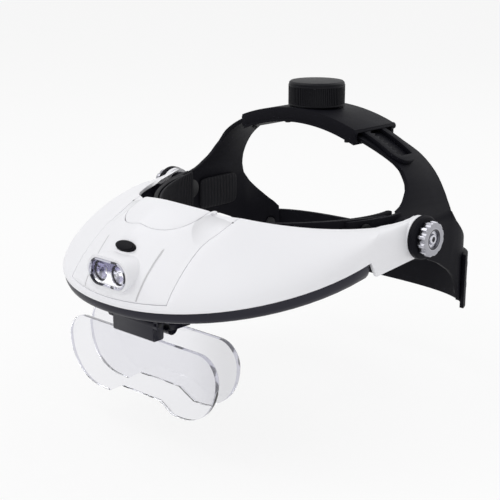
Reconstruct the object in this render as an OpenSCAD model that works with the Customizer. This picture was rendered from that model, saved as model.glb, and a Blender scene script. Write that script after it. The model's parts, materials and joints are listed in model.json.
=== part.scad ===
// Head-worn jeweler loupe: a white visor on a black harness, with a lamp and two clear lens plates.
// +Z is up, -Y is the front, +X is the wearer's left. The origin is the middle of the visor pivot axis.

/* [Visor shell] */
// Distance of the visor's inner edge outside the temple plates' inner faces
arm_space = 11.5; // [10:0.5:13]
// Distance of the inner edge in front of the pivots
edge_front = 89; // [87:0.5:95]
// Height of the inner edge at the front
edge_z = 20; // [17:0.5:24]
// Distance of the outer rim outside the inner edge
rim_flare = 1.8; // [1.2:0.1:4]
// Distance of the rim in front of the pivots
rim_front = 129; // [125:0.5:134]
// Distance in front of the pivots at which the rim meets the arms
rim_back = 38.5; // [37:0.5:42]
// Wall thickness of the shell
shell_wall = 1.8; // [1.4:0.1:2.4]
// Height of the arms below the pivot axis, at the pivot
arm_drop = 10.5; // [9:0.5:12]
// Half-width of the console at the inner edge
console_back_w = 35.5; // [34.5:0.5:39]
// Half-width of the console at its middle
console_mid_w = 33.5; // [32:0.5:36]
// Half-width of the console at its front
console_front_w = 34.5; // [32:0.5:38]
// Height of the shell's rim band below the console
rim_band_h = 3; // [2:0.5:5]
// Gap between neighbouring covers
seam_gap = 0.35; // [0.15:0.05:0.4]

/* [Battery lid and switch] */
// Half-width of the battery lid
lid_half_w = 23.2; // [18:0.5:26]
// Distance of the lid's front edge in front of the pivots
lid_front = 106.3; // [102:0.5:109]
// Depth of the finger scoops beside the lid
scoop_depth = 2.4; // [1:0.2:3.5]
// Length of the oval switch button
switch_l = 13; // [10:0.2:16]
// Width of the oval switch button
switch_w = 5.4; // [4.6:0.2:8]
// Travel of the switch button
switch_travel = 1; // [0.5:0.1:1.5]

/* [Lamp] */
// Length of the oval lamp bezel
lamp_l = 26; // [24:0.5:30]
// Height of the oval lamp bezel
lamp_h = 13.2; // [12:0.5:16]
// Height of the lamp's centre below the pivots
lamp_drop = 9.2; // [8:0.1:11]
// Distance of the lamp's face in front of the pivots
lamp_face = 127.5; // [126:0.5:130]
// Wall of the white hood around the lamp
hood_wall = 1.5; // [1:0.1:2]

/* [Under-tray] */
// Height of the tray's lip below the rim at the arms
lip_side_h = 8.4; // [7:0.2:11]
// Height of the tray's lip below the rim at the front
lip_front_h = 5.6; // [3.6:0.2:7]
// Inset of the lip behind the rim
lip_inset = 0.9; // [0.5:0.1:2]
// Wall thickness of the tray
tray_wall = 1.8; // [1.4:0.1:2.4]
// Drop of the tray's floor below the inner edge at the front
floor_drop = 36; // [32:1:38]

/* [Lens bracket and plates] */
// Width of the lens plates
lens_w = 106.4; // [98:0.4:112]
// Thickness of the lens plates
lens_t = 2.8; // [2:0.1:3.4]
// Distance of the front plate's middle in front of the pivots
front_lens_y = 108; // [107:0.2:109]
// Depth of the front plate's top edge below the pivots
front_lens_z = 44; // [43.6:0.2:46]
// Distance of the rear plate's middle in front of the pivots
rear_lens_y = 93.7; // [93:0.1:94.4]
// Depth of the rear plate's top edge below the pivots
rear_lens_z = 40; // [39.8:0.2:41]
// Height of each lens plate from top edge to the lobes
lens_h = 36; // [33:0.5:39]
// Height of the nose notch
notch_h = 5; // [3:0.5:8]
// Half-width of the bracket's base
base_half = 26; // [24:0.5:27]
// Width of the front clip
clip_w = 29.2; // [28:0.2:32]
// Depth of the front clip
clip_d = 7; // [6.8:0.1:7.6]
// Diameter of the front clip's hinge pin
clip_pin_d = 2.4; // [2:0.1:3]

/* [Harness] */
// Half-width inside the temple plates
head_half_w = 74.5; // [73.5:0.5:76]
// Reach of the forehead band in front of the pivots
brow_front = 83; // [80:0.5:84]
// Reach of the nape behind the pivots
nape_back = 78.5; // [72:1:90]
// Thickness of the moulded straps
strap_t = 2.2; // [1.8:0.1:2.4]
// Width of the crown straps
strap_w = 29; // [26:0.5:30]
// Distance of the crown strap's middle line behind the pivots
crown_y = 25; // [23:0.5:27]
// Height of the crown housing's underside, as a share of the head's half-width
crown_lift = 0.6215; // [0.6:0.005:0.7]
// Radius of the crown arc at the underside, as a share of the head's half-width
crown_flat = 1.38; // [1.34:0.01:1.5]
// Width of the crown housing
housing_w = 34; // [33.5:0.5:38]
// Half-length of the crown housing
housing_half_l = 40; // [38:0.5:44]
// Height of the forehead band above the pivots
band_top = 9.5; // [8:0.5:12]
// Depth of the forehead band below the pivots
band_drop = 12; // [10:0.5:14]
// Thickness of the forehead pad
pad_t = 2.6; // [2:0.1:4]
// Height of the forehead pad above the band at its middle
pad_proud = -0.5; // [-1:0.1:1]
// Rise of the forehead pad towards its ends
pad_rise = 2.4; // [0:0.2:4]
// Width of the pad's ribs, measured along the band
pad_rib = 4; // [3:0.5:6]
// Height of the nape band
nape_h = 30.5; // [24:0.5:36]
// Depth of the nape band's lower edge below the pivots
nape_drop = 54.5; // [50:0.5:58]

/* [Pivots and knobs] */
// Diameter of the pivot bolts
bolt_d = 5; // [4:0.2:6]
// Diameter of the black pivot discs
disc_d = 22; // [20:0.5:24]
// Thickness of the black pivot discs
disc_t = 4.1; // [3:0.1:5]
// Diameter of the side clamp knobs
side_knob_d = 17.6; // [17:0.2:20]
// Thickness of the side clamp knobs
side_knob_t = 4.4; // [4:0.2:6]
// Number of scallops on a side knob
scallops = 12; // [8:1:16]
// Diameter of the crown knob
knob_d = 31; // [28:0.5:33]
// Height of the crown knob
knob_h = 13.6; // [12:0.2:15]
// Number of grip grooves on the crown knob
knob_grooves = 60; // [30:2:72]
// Teeth of the crown pinion
pinion_teeth = 9; // [9:1:9]
// Module of the pinion and the rack teeth
tooth_m = 1; // [1:0.05:1]
// Travel of each rack along the crown arc
rack_travel = 20; // [12:1:20]
// Reach of the left rack's tongue past the housing
tongue_reach = 23; // [21:0.5:24]
// Width of the rack tongues
tongue_w = 18.5; // [17:0.5:20]

/* [Hidden] */

edge_half_w = head_half_w + arm_space;
rim_half_w = edge_half_w + rim_flare;
crown_z = crown_lift * head_half_w;
crown_r = crown_flat * head_half_w;

$fn = 48;
// Overlap that joins two solids of one piece, and cuts past a face
eps = 0.02;
over = 1;
// Clearances: running fits, sliding fits, parts that touch at rest, and curved parts
run_gap = 0.06;
slide_gap = 0.1;
face_gap = 0.05;
curve_gap = 0.3;

white = "#f2f2f5";
black = "#1b1b1e";
charcoal = "#3c3c46";
silver = "#c9ccd2";
clear = [0.85, 0.88, 0.92, 0.45];

function lerp(a, b, k) = a + (b - a) * k;
function unit(v) = v / norm(v);
function pw(v, p) = pow(max(v, 0), p);
function side(t) = t < 0 ? -1 : 1;

// Visor surface
// t runs across the visor from one arm to the other, and s from the inner edge to the rim.
// The main shell has |t| up to 1 and the arms have |t| from 1 to 2.
edge_exp = 1.55;
edge_span = 72;
edge_arm_z = 10;
edge_low_z = 7;
rim_exp = 2.1;
rim_mid_z = 2.2;
rim_slope = 0.2;
rim_pace = 1.5;
crown_exp = 1.5;
arm_exp = 2.4;
wing_dip = 0.16;
notch_y = -34.7;
notch_z = -13.4;

function edge_angle(t) = abs(t) <= 1 ? edge_span * abs(t) : lerp(edge_span, 90, abs(t) - 1);
function edge_rise(k) = edge_low_z + (edge_z - edge_low_z) * pow(k, 3.3)
    + (edge_arm_z - edge_low_z) * pow(1 - k, 8);
function edge_pt(t) =
    let (a = edge_angle(t), k = 2 / edge_exp, y = edge_front * pw(cos(a), k))
    [side(t) * edge_half_w * pw(sin(a), k), -y, edge_rise(y / edge_front)];
function rim_z(y) = rim_mid_z + rim_slope * y;
function rim_main(t) =
    let (a = 90 * pow(min(abs(t), 1), rim_pace), k = 2 / rim_exp,
        y = -rim_back - (rim_front - rim_back) * pw(cos(a), k))
    [side(t) * rim_half_w * pw(sin(a), k), y, rim_z(y)];
function rim_arm(t) = let (u = abs(t) - 1)
    [side(t) * rim_half_w, lerp(notch_y, 0, u), lerp(notch_z, -arm_drop, u)];
function rim_pt(t) = abs(t) <= 1 ? rim_main(t) : rim_arm(t);
function bulge(t) = let (k = min(abs(t), 1))
    lerp(crown_exp, arm_exp, pow(k, 9)) - wing_dip * pow(sin(180 * k), 2);

// The finger scoops are smooth hollows beside the lid.
scoop_x = 30;
scoop_y = -86;
scoop_rx = 8;
scoop_ry = 14;
function scoop(x, y) =
    let (u = (abs(x) - scoop_x) / scoop_rx, v = (y - scoop_y) / scoop_ry, q = u * u + v * v)
    q < 1 ? scoop_depth * pow(1 - q, 2) : 0;

function skin(t, s) =
    let (e = edge_pt(t), r = rim_pt(t), k = 2 / bulge(t),
        f = pw(sin(90 * s), k), g = 1 - pw(cos(90 * s), k),
        p = [lerp(e.x, r.x, f), lerp(e.y, r.y, f), lerp(e.z, r.z, g)])
    [p.x, p.y, p.z - scoop(p.x, p.y)];
function skin_normal(t, s) =
    let (h = 0.004, lo = side(t) * (abs(t) > 1 ? max(abs(t) - h, 1 + h) : abs(t)),
        du = skin(lo + (lo < 0 ? h : -h), s) - skin(lo, s),
        a = max(s - h, 0.001), b = min(s + h, 0.999),
        n = cross(du, skin(lo, b) - skin(lo, a)))
    unit(n) * (lo < 0 ? -1 : 1);

// Direction of the wall's thickness: square to the skin, and straight inward along the arms
function wall_dir(t, s) = let (k = pow(min(max((abs(t) - 0.75) / 0.25, 0), 1), 2))
    unit(lerp(skin_normal(t, s), [side(t), 0, 0], k));

main_steps = 26;
arm_steps = 4;
skin_steps = 12;
arm_start = 0.02;
main_t = [for (i = [-main_steps:main_steps]) i / main_steps];
arm_t = [for (i = [0:arm_steps]) 1 + lerp(arm_start, 1, i / arm_steps)];
all_t = concat([for (i = [arm_steps:-1:0]) -arm_t[i]], main_t, arm_t);

// A closed wall between an outer and an inner grid of points
module wall_sheet(outer, inner) {
    rows = len(outer);
    cols = len(outer[0]);
    last = rows * cols;
    pts = concat([for (r = outer) each r], [for (r = inner) each r]);
    function at(i, j) = i * cols + j;
    function quad(a, b, c, d) = [[a, b, c], [a, c, d]];
    faces = concat(
        [for (i = [0:rows - 2], j = [0:cols - 2])
            each quad(at(i, j), at(i + 1, j), at(i + 1, j + 1), at(i, j + 1))],
        [for (i = [0:rows - 2], j = [0:cols - 2])
            each quad(last + at(i, j), last + at(i, j + 1), last + at(i + 1, j + 1), last + at(i + 1, j))],
        [for (i = [0:rows - 2])
            each quad(at(i, 0), last + at(i, 0), last + at(i + 1, 0), at(i + 1, 0))],
        [for (i = [0:rows - 2], j = [cols - 1])
            each quad(at(i, j), at(i + 1, j), last + at(i + 1, j), last + at(i, j))],
        [for (j = [0:cols - 2])
            each quad(at(0, j), at(0, j + 1), last + at(0, j + 1), last + at(0, j))],
        [for (i = [rows - 1], j = [0:cols - 2])
            each quad(at(i, j), last + at(i, j), last + at(i, j + 1), at(i, j + 1))]);
    polyhedron(points = pts, faces = faces);
}

// A closed solid from a stack of rings with as many points each
module ring_stack(rings) {
    rows = len(rings);
    cols = len(rings[0]);
    faces = concat(
        [for (i = [0:rows - 2], j = [0:cols - 1]) let (k = (j + 1) % cols)
            each [[i * cols + j, (i + 1) * cols + k, (i + 1) * cols + j],
                [i * cols + j, i * cols + k, (i + 1) * cols + k]]],
        [for (j = [1:cols - 2]) [0, j + 1, j]],
        [for (j = [1:cols - 2]) let (b = (rows - 1) * cols) [b, b + j, b + j + 1]]);
    polyhedron(points = [for (r = rings) each r], faces = faces);
}

module visor_skin(ts) {
    ss = [for (j = [0:skin_steps]) j / skin_steps];
    outer = [for (t = ts) [for (s = ss) skin(t, s)]];
    inner = [for (t = ts) [for (s = ss) skin(t, s) - shell_wall * wall_dir(t, s)]];
    wall_sheet(outer, inner);
}

// Console cut: everything between the wings, above the rim band
module console_zone(inset) {
    tilt = atan(rim_slope);
    wb = console_back_w - inset;
    wm = console_mid_w - inset;
    wf = console_front_w - inset;
    half = [[0, 0], [wb, 0], [wb, -78], [wm, -94], [wm, -104], [wf, -130], [wf, -150], [0, -150]];
    intersection() {
        translate([0, 0, -60]) linear_extrude(height = 120) union() {
            polygon(half);
            mirror([1, 0]) polygon(half);
        }
        translate([0, 0, rim_mid_z + rim_band_h + inset]) rotate([tilt, 0, 0])
            translate([-60, -160, 0]) cube([120, 160, 90]);
    }
}

// Plan outline of the battery lid
lid_corner = 20;
module lid_zone(inset) {
    w = lid_half_w - inset;
    front = lid_front - inset;
    r = lid_corner - inset;
    translate([0, 0, -20]) linear_extrude(height = 60)
        union() {
            translate([-w, -front + r]) square([2 * w, front]);
            translate([-w + r, -front]) square([2 * (w - r), r + eps]);
            for (m = [-1, 1]) translate([m * (w - r), -front + r]) circle(r);
        }
}

// Upright oval: a square between two circles
module oval(l, w) {
    square([l - w, w], center = true);
    for (m = [-1, 1]) translate([m * (l - w) / 2, 0]) circle(d = w);
}

// Ellipse of the switch button
module ellipse(l, w) {
    polygon([for (i = [0:35]) [l / 2 * cos(10 * i), w / 2 * sin(10 * i)]]);
}

// Oval prism along -Y, from depth y0 to y1 in front of the pivots, around the lamp's centre
module lamp_prism(l, h, y0, y1) {
    translate([0, -y0, -lamp_drop])
        rotate([90, 0, 0])
            linear_extrude(height = y1 - y0) oval(l, h);
}

// Pivot stack along X, measured from the middle of the head
arm_in = edge_half_w - 0.3;
arm_out = rim_half_w + 0.2;
pivot_pad_d = 21;
washer_t = 0.8;
boss_out = arm_in - washer_t - 2 * face_gap;
disc_in = arm_out + face_gap;
disc_out = disc_in + disc_t;
knob_in = disc_out + curve_gap;

// Turns a solid drawn along +Z, with its foot at z = 0, onto the pivot axis at distance x
module on_pivot(m, x) {
    translate([m * x, 0, 0]) rotate([0, m * 90, 0]) children();
}

// Screws that hold the tray go up into posts of the console cover and of the shell.
post_t = [0.36, 0.66];
post_s = [0.5, 0.5];
post_d = 6;
post_bore = 2.2;
function post_pt(i, m) = skin(m * post_t[i], post_s[i]);
function lip_h(t) = lerp(lip_side_h, lip_front_h, (-rim_main(t).y - rim_back) / (rim_front - rim_back));
function floor_z(t, k) = lerp(rim_pt(t).z - lip_h(t), tray_rear_z(t), k);
function post_foot(i) = floor_z(post_t[i], 1 - pw(sin(90 * post_s[i]), 2 / bulge(post_t[i])));

// A post stands on the tray and ends inside the cover's wall.
module posts(i) {
    for (m = [-1, 1]) {
        p = post_pt(i, m);
        n = skin_normal(m * post_t[i], post_s[i]);
        foot = post_foot(i) + tray_wall + 1.2;
        difference() {
            translate([p.x, p.y, foot]) cylinder(d = post_d, h = p.z + 4 - foot);
            translate(p - 0.5 * shell_wall * n) rotate([0, acos(n.z), atan2(n.y, n.x)])
                translate([-10, -10, 0]) cube(20);
            translate([p.x, p.y, foot - over]) cylinder(d = post_bore, h = 8 + over);
        }
    }
}

module visor_shell() {
    color(white) {
        difference() {
            visor_skin(all_t);
            console_zone(0);
            for (m = [-1, 1]) on_pivot(m, arm_in - over)
                cylinder(d = pivot_pad_d - 2, h = 2 * over + arm_out - arm_in);
        }
        for (m = [-1, 1]) on_pivot(m, arm_in) difference() {
            cylinder(d = pivot_pad_d, h = arm_out - arm_in);
            translate([0, 0, -over]) cylinder(d = bolt_d + 2 * run_gap, h = 5 * over + arm_out - arm_in);
        }
        posts(1);
    }
}

// Switch place, and the tilt of the surface there
switch_s = 0.53;
switch_at = skin(0, switch_s);
switch_n = skin_normal(0.001, switch_s);
switch_tilt = acos(switch_n.z);
switch_hole = 0.3;
module at_switch(depth) {
    translate(switch_at - switch_n * depth) rotate([switch_tilt, 0, 0]) children();
}

hood_back = 114.2;
module console_cover() {
    color(white) difference() {
        union() {
            intersection() {
                visor_skin([for (t = main_t) if (abs(t) < 0.6) t]);
                console_zone(seam_gap);
            }
            lamp_prism(lamp_l + 2 * hood_wall, lamp_h + 2 * hood_wall, hood_back, lamp_face);
        }
        lid_zone(0);
        lamp_prism(lamp_l + 2 * slide_gap, lamp_h + 2 * slide_gap, hood_back - 6, lamp_face + over);
        at_switch(5) linear_extrude(height = 12)
            ellipse(switch_l + 2 * switch_hole, switch_w + 2 * switch_hole);
    }
    color(white) posts(0);
}

module battery_lid() {
    color(white) intersection() {
        visor_skin([for (t = main_t) if (abs(t) < 0.6) t]);
        lid_zone(seam_gap);
    }
}

// Tray section: a flange inside the rim, the lip, the floor and the rear wall under the inner edge
tray_gap = 1.3;
rear_wall_gap = 0.4;
rear_in = 1.6;
flange_h = 2;
tray_end = 0.992;
lip_foot = 5.6;
rear_foot = 3.2;
function plan_dir(a, b) = unit([b.x - a.x, b.y - a.y]);
function rim_in(t) = let (h = 0.01, d = plan_dir(rim_main(t - h), rim_main(t + h))) [-d.y, d.x];
function edge_out(t) = let (h = 0.01, d = plan_dir(edge_pt(t - h), edge_pt(t + h))) [d.y, -d.x];
function tray_rear_z(t) = edge_pt(t).z - lerp(floor_drop, 14, abs(t));
function lip_at(t, d, z) =
    let (r = rim_main(t), n = rim_in(t)) [r.x + n.x * d, r.y + n.y * d, r.z + z];
function rear_at(t, d, z) =
    let (e = edge_pt(t), n = edge_out(t)) [e.x + n.x * d, e.y + n.y * d, z];
// Height of the shell's underside above the tray's rear wall
function rear_top(t) =
    let (e = edge_pt(t), r = rim_pt(t), b = bulge(t), d = rear_in + tray_wall + 0.5, p = rear_at(t, d, 0),
        f = min(d / norm([e.x - r.x, e.y - r.y]), 0.95))
    lerp(e.z, r.z, 1 - pow(1 - pow(f, b), 1 / b)) - scoop(p.x, p.y) - 1.25 * shell_wall - rear_wall_gap;
function tray_outer(t) = let (f = shell_wall + tray_gap, zr = tray_rear_z(t), h = lip_h(t))
    [lip_at(t, f, flange_h), lip_at(t, f, -curve_gap), lip_at(t, lip_inset, -curve_gap),
        lip_at(t, lip_inset, -0.55 * h), lip_at(t, lip_inset + 0.8, -0.82 * h),
        lip_at(t, lip_inset + 2.4, -0.96 * h), lip_at(t, lip_foot, -h),
        rear_at(t, rear_foot, zr), rear_at(t, rear_in, zr + 1.4),
        rear_at(t, rear_in, rear_top(t))];
function tray_inner(t) = let (w = tray_wall, f = shell_wall + tray_gap + w, zr = tray_rear_z(t), h = lip_h(t))
    [lip_at(t, f, flange_h), lip_at(t, f, -curve_gap - 0.5), lip_at(t, lip_inset + w, -curve_gap - w),
        lip_at(t, lip_inset + w, -0.53 * h), lip_at(t, lip_inset + w + 0.5, -0.66 * h),
        lip_at(t, lip_inset + w + 1.4, -0.74 * h), lip_at(t, lip_foot + 0.8, -h + w),
        rear_at(t, rear_foot + w, zr + w), rear_at(t, rear_in + w, zr + w + 1.2),
        rear_at(t, rear_in + w, rear_top(t))];
// The tray's ends run on past the rim, behind the arms
end_run = 4.2;
end_in = 1.8;
function run_on(row) = [for (p = row) p + [-side(p.x) * end_in, end_run, 0]];
function tray_rows(rows) = concat([run_on(rows[0])], rows, [run_on(rows[len(rows) - 1])]);

tray_steps = 24;
screw_d = 2;
screw_head_d = 4.4;
module under_tray() {
    ts = [for (i = [-tray_steps:tray_steps]) tray_end * i / tray_steps];
    color(charcoal) difference() {
        wall_sheet(tray_rows([for (t = ts) tray_outer(t)]), tray_rows([for (t = ts) tray_inner(t)]));
        for (m = [-1, 1], i = [0, 1]) {
            p = post_pt(i, m);
            translate([p.x, p.y, -40]) cylinder(d = screw_d + 0.4, h = 60);
        }
    }
}

module tray_screws() {
    color(silver) for (m = [-1, 1], i = [0, 1]) {
        p = post_pt(i, m);
        translate([p.x, p.y, post_foot(i) - 3.7]) {
            cylinder(d = screw_head_d, h = 1.6);
            cylinder(d = screw_d, h = 9);
        }
    }
}

module pivot_disc(m) {
    edge = 0.8;
    color(black) on_pivot(m, disc_in) rotate_extrude() polygon([
        [bolt_d / 2 + run_gap, 0], [disc_d / 2 - edge, 0], [disc_d / 2, edge],
        [disc_d / 2, disc_t - edge], [disc_d / 2 - edge, disc_t], [bolt_d / 2 + run_gap, disc_t]]);
}
module pivot_disc_left() { pivot_disc(1); }
module pivot_disc_right() { pivot_disc(-1); }

// Lamp
bezel_wall = 0.9;
window_t = 0.8;
cup_r = 5.2;
cup_x = 6.3;
reflector_d = 8.2;
module lamp_bezel() {
    color(silver) difference() {
        lamp_prism(lamp_l, lamp_h, lamp_face - 3, lamp_face + 0.5);
        lamp_prism(lamp_l - 2 * bezel_wall, lamp_h - 2 * bezel_wall,
            lamp_face - 3 - over, lamp_face + over + 0.5);
    }
}
inner_l = lamp_l - 2 * bezel_wall - 2 * slide_gap;
inner_h = lamp_h - 2 * bezel_wall - 2 * slide_gap;
cup_face = lamp_face - 0.6;
module lamp_window() {
    color(clear) lamp_prism(inner_l, inner_h, cup_face - window_t, cup_face);
}
module at_cups(y) {
    for (m = [-1, 1]) translate([m * cup_x, -y, -lamp_drop]) rotate([-90, 0, 0]) children();
}
module lamp_reflector() {
    face = cup_face - window_t - face_gap;
    color(silver) difference() {
        lamp_prism(inner_l, inner_h, face - reflector_d, face);
        at_cups(face + eps) cylinder(r1 = cup_r, r2 = 2.2, h = 6);
        at_cups(face - 5.9) cylinder(r = 1.8, h = 6);
    }
}
led_back = cup_face - window_t - face_gap - reflector_d - 0.1;
module lamp_leds() {
    color("#f5efc8") at_cups(led_back + 4.4) {
        translate([0, 0, 1.5]) sphere(r = 1.5);
        translate([0, 0, 1.5]) cylinder(r = 1.5, h = 4.4 - 1.5 - 0.05);
    }
}
board_t = 1.2;
module led_board() {
    color("#2f6b4f") translate([-10.4, -led_back, -lamp_drop - 5]) cube([20.8, board_t, 10]);
}

// Switch
module switch_button() {
    color(black) at_switch(2.2) {
        linear_extrude(height = 2.6) ellipse(switch_l, switch_w);
        translate([0, 0, 2.6 - eps]) linear_extrude(height = 0.4) ellipse(switch_l - 1.6, switch_w - 1.2);
    }
}
module switch_body() {
    color(charcoal) at_switch(2.2 + switch_travel + 4.3) {
        translate([-3, -2, 0]) cube([6, 4, 4]);
        translate([0, 0, 4 - eps]) cylinder(d = 3, h = 0.25 + eps);
    }
}

// Battery box with two AAA cells lying across the visor
cell_d = 10.5;
cell_l = 44.5;
cell_y = [-98.2, -106.9];
cell_z = [0.2, -8.6];
box_half = 27;
module cell_bed(extra) {
    for (i = [0, 1]) translate([0, cell_y[i], cell_z[i]]) rotate([0, 90, 0])
        cylinder(d = cell_d + extra, h = cell_l + extra, center = true);
}
// Side view of the box's body, of its raised ends and of the ledge behind the switch
box_side = [[-113.6, -21.6], [-92.8, -11.2], [-92.8, -2], [-101, -2], [-101, -8.6], [-113.6, -8.6]];
end_side = [[-113.6, -9], [-92.8, -9], [-92.8, 3], [-95, 3], [-101, 0], [-108, -5], [-113.6, -8.6]];
ledge_side = [[-113.6, -8.8], [-112.5, -8.8], [-112.5, -7.2], [-111.1, -5.1], [-110.3, -3.6],
    [-112.9, -6.2], [-113.6, -6.9]];
cell_end = cell_l / 2 + 0.15;
module side_slab(x0, x1, outline) {
    rotate([90, 0, 90]) translate([0, 0, x0]) linear_extrude(height = x1 - x0) polygon(outline);
}
module battery_box() {
    color(charcoal) {
        difference() {
            union() {
                side_slab(-box_half, box_half, box_side);
                side_slab(-box_half, -cell_end, end_side);
                side_slab(cell_end, box_half, end_side);
            }
            cell_bed(1);
            for (i = [0, 1]) translate([-cell_l / 2 - 0.5, cell_y[i] - cell_d / 2 - 0.3, cell_z[i]])
                cube([cell_l + 1, cell_d + 0.6, 30]);
            for (m = [-1, 1], i = [0, 1])
                translate([m * (cell_l / 2 + 1.1) - 0.9, cell_y[i] - 4, cell_z[i] - 4]) cube([1.8, 8, 30]);
        }
        side_slab(-3, 3, ledge_side);
    }
}
module battery_cells() {
    color("#b8862f") for (i = [0, 1]) translate([0, cell_y[i], cell_z[i]])
        rotate([0, (i * 2 - 1) * 90, 0]) {
        cylinder(d = cell_d, h = cell_l - 1.2, center = true);
        translate([0, 0, cell_l / 2 - 0.6 - eps]) cylinder(d = 3.8, h = 0.9);
    }
}
module battery_contacts() {
    color(silver) for (m = [-1, 1], i = [0, 1])
        translate([m * (cell_l / 2 + 1.1) - 0.3 + m * 0.45, cell_y[i] - 3.1, cell_z[i] - 3.9])
            cube([0.6, 6.2, 7]);
}

// Lens bracket under the tray, with the rear holder bar
function floor_front(y) = let (y0 = -rim_front + lip_foot, y1 = -edge_front - rear_foot,
    z0 = rim_z(-rim_front) - lip_front_h, z1 = tray_rear_z(0)) lerp(z0, z1, (y - y0) / (y1 - y0));
clip_pin_y = -110.6;
clip_pin_z = -35.4;
knuckle_r = 2.2;
ear_t = 2.6;
ear_in = clip_w / 2 + 0.25;
ear_out = ear_in + ear_t;
base_front = -112.5;
base_rear = -103;
base_low = -33;
base_sink = 1.1;
pad_sink = 0.25;
pad_half = 10;
holder_half = 17;
holder_rear = -89.4;
nose_y = -100;
nose_z = -39.8;
nose_r = 3.4;
nose_half = 15;
slot_gap = 0.1;
tab_half = 13;
front_tab = 6;
rear_tab = 5;
module x_rod(r, half, y, z) {
    translate([-half, y, z]) rotate([0, 90, 0]) cylinder(r = r, h = 2 * half);
}
module lens_bracket() {
    ff = floor_front(base_front);
    fr = floor_front(holder_rear);
    web = nose_y - nose_r;
    color(black) difference() {
        union() {
            side_slab(-base_half, base_half, [[base_front, ff - base_sink],
                [base_rear, floor_front(base_rear) - base_sink],
                [base_rear, base_low], [base_front + 1, base_low], [base_front, base_low + 1]]);
            side_slab(-pad_half, pad_half, [[base_front, ff - pad_sink], [holder_rear, fr - pad_sink],
                [holder_rear, base_low + 1], [base_front, base_low + 1]]);
            side_slab(-holder_half, holder_half, [[web, floor_front(web) - base_sink],
                [holder_rear, fr - base_sink],
                [holder_rear, 0.8 - rear_lens_z], [holder_rear - 0.8, -rear_lens_z], [nose_y, -rear_lens_z],
                [web, nose_z]]);
            x_rod(nose_r, nose_half, nose_y, nose_z);
            for (m = [-1, 1]) translate([m * (ear_in + ear_out) / 2, 0, 0]) {
                x_rod(knuckle_r + 0.2, ear_t / 2, clip_pin_y, clip_pin_z);
                side_slab(-ear_t / 2, ear_t / 2, [[clip_pin_y - 1.9, base_low + 1],
                    [clip_pin_y + 3, base_low + 1],
                    [clip_pin_y + 2.2, clip_pin_z - 0.9], [clip_pin_y - 1.9, clip_pin_z]]);
            }
        }
        translate([-tab_half - slot_gap, -rear_lens_y - lens_t / 2 - slot_gap, -rear_lens_z - over])
            cube([2 * (tab_half + slot_gap), lens_t + 2 * slot_gap, over + rear_tab + 0.1]);
        x_rod(clip_pin_d / 2 + run_gap, ear_out + over, clip_pin_y, clip_pin_z);
    }
}

clip_front = base_front;
clip_rear = clip_front + clip_d;
clip_top = -36;
module front_clip() {
    color(black) difference() {
        union() {
            side_slab(-clip_w / 2, clip_w / 2, [[clip_front, 0.8 - front_lens_z],
                [clip_front + 0.8, -front_lens_z], [clip_rear - 0.8, -front_lens_z],
                [clip_rear, 0.8 - front_lens_z], [clip_rear, clip_top - 0.8],
                [clip_rear - 0.8, clip_top], [clip_front, clip_top]]);
            x_rod(knuckle_r, clip_w / 2, clip_pin_y, clip_pin_z);
        }
        translate([-tab_half - slot_gap, -front_lens_y - lens_t / 2 - slot_gap, -front_lens_z - over])
            cube([2 * (tab_half + slot_gap), lens_t + 2 * slot_gap, over + front_tab + 0.1]);
        translate([-6, -front_lens_y - lens_t / 2 - slot_gap - 0.8, -front_lens_z + 1])
            cube([12, 0.8 + eps, 4.6]);
        x_rod(clip_pin_d / 2 + run_gap, clip_w, clip_pin_y, clip_pin_z);
    }
}
module clip_hinge_pin() {
    color(silver) x_rod(clip_pin_d / 2, ear_out + 0.1, clip_pin_y, clip_pin_z);
}
module clip_spring() {
    color(silver) translate([-5.5, -front_lens_y - lens_t / 2 - slot_gap - 0.72, -front_lens_z + 1.4])
        cube([11, 0.4, 3.9]);
}

// Lens plate: two lobes, a nose notch and a tab that fits the holder
lobe_r = 24;
shoulder_r = 12;
foot_x = 23;
bridge_x = 14;
function arc_pts(cx, cz, r, a0, a1, n) =
    [for (i = [0:n]) let (a = lerp(a0, a1, i / n)) [cx + r * cos(a), cz + r * sin(a)]];
module lens_outline(tab_h) {
    hw = lens_w / 2;
    half = concat([[tab_half, tab_h], [tab_half, 0]],
        arc_pts(hw - shoulder_r, -shoulder_r, shoulder_r, 90, 0, 8),
        arc_pts(hw - lobe_r, -lens_h + lobe_r, lobe_r, 0, -90, 12),
        [[foot_x, -lens_h], [bridge_x, -lens_h + notch_h]]);
    n = len(half);
    polygon(concat(half, [for (i = [n - 1:-1:0]) [-half[i].x, half[i].y]]));
}
module lens_plate(y, z, tab_h) {
    color(clear) translate([0, -y + lens_t / 2, -z]) rotate([90, 0, 0])
        linear_extrude(height = lens_t) lens_outline(tab_h);
}
module front_lens() { lens_plate(front_lens_y, front_lens_z + face_gap, front_tab); }
module rear_lens() { lens_plate(rear_lens_y, rear_lens_z + face_gap, rear_tab); }

// Harness plan: a pointed loop in front, straight temples and a squarer loop behind
brow_exp = 1.6;
nape_exp = 3.2;
temple_y = 46;
loop_steps = 22;
function front_pt(o, a) = [(head_half_w + o) * pw(sin(a), 2 / brow_exp),
    -(brow_front - strap_t + o) * pw(cos(a), 2 / brow_exp)];
function rear_pt(o, a) = [(head_half_w + o) * pw(cos(a), 2 / nape_exp),
    temple_y + (nape_back - temple_y + o) * pw(sin(a), 2 / nape_exp)];
function loop_half(o) = concat([for (i = [0:loop_steps]) front_pt(o, 90 * i / loop_steps)],
    [for (i = [0:loop_steps]) rear_pt(o, 90 * i / loop_steps)]);
module loop_area(o) {
    h = loop_half(o);
    n = len(h);
    polygon(concat(h, [for (i = [n - 2:-1:1]) [-h[i].x, h[i].y]]));
}
module loop_band(o0, o1, z0, z1) {
    translate([0, 0, z0]) linear_extrude(height = z1 - z0) difference() {
        loop_area(o1);
        loop_area(o0);
    }
}

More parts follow.
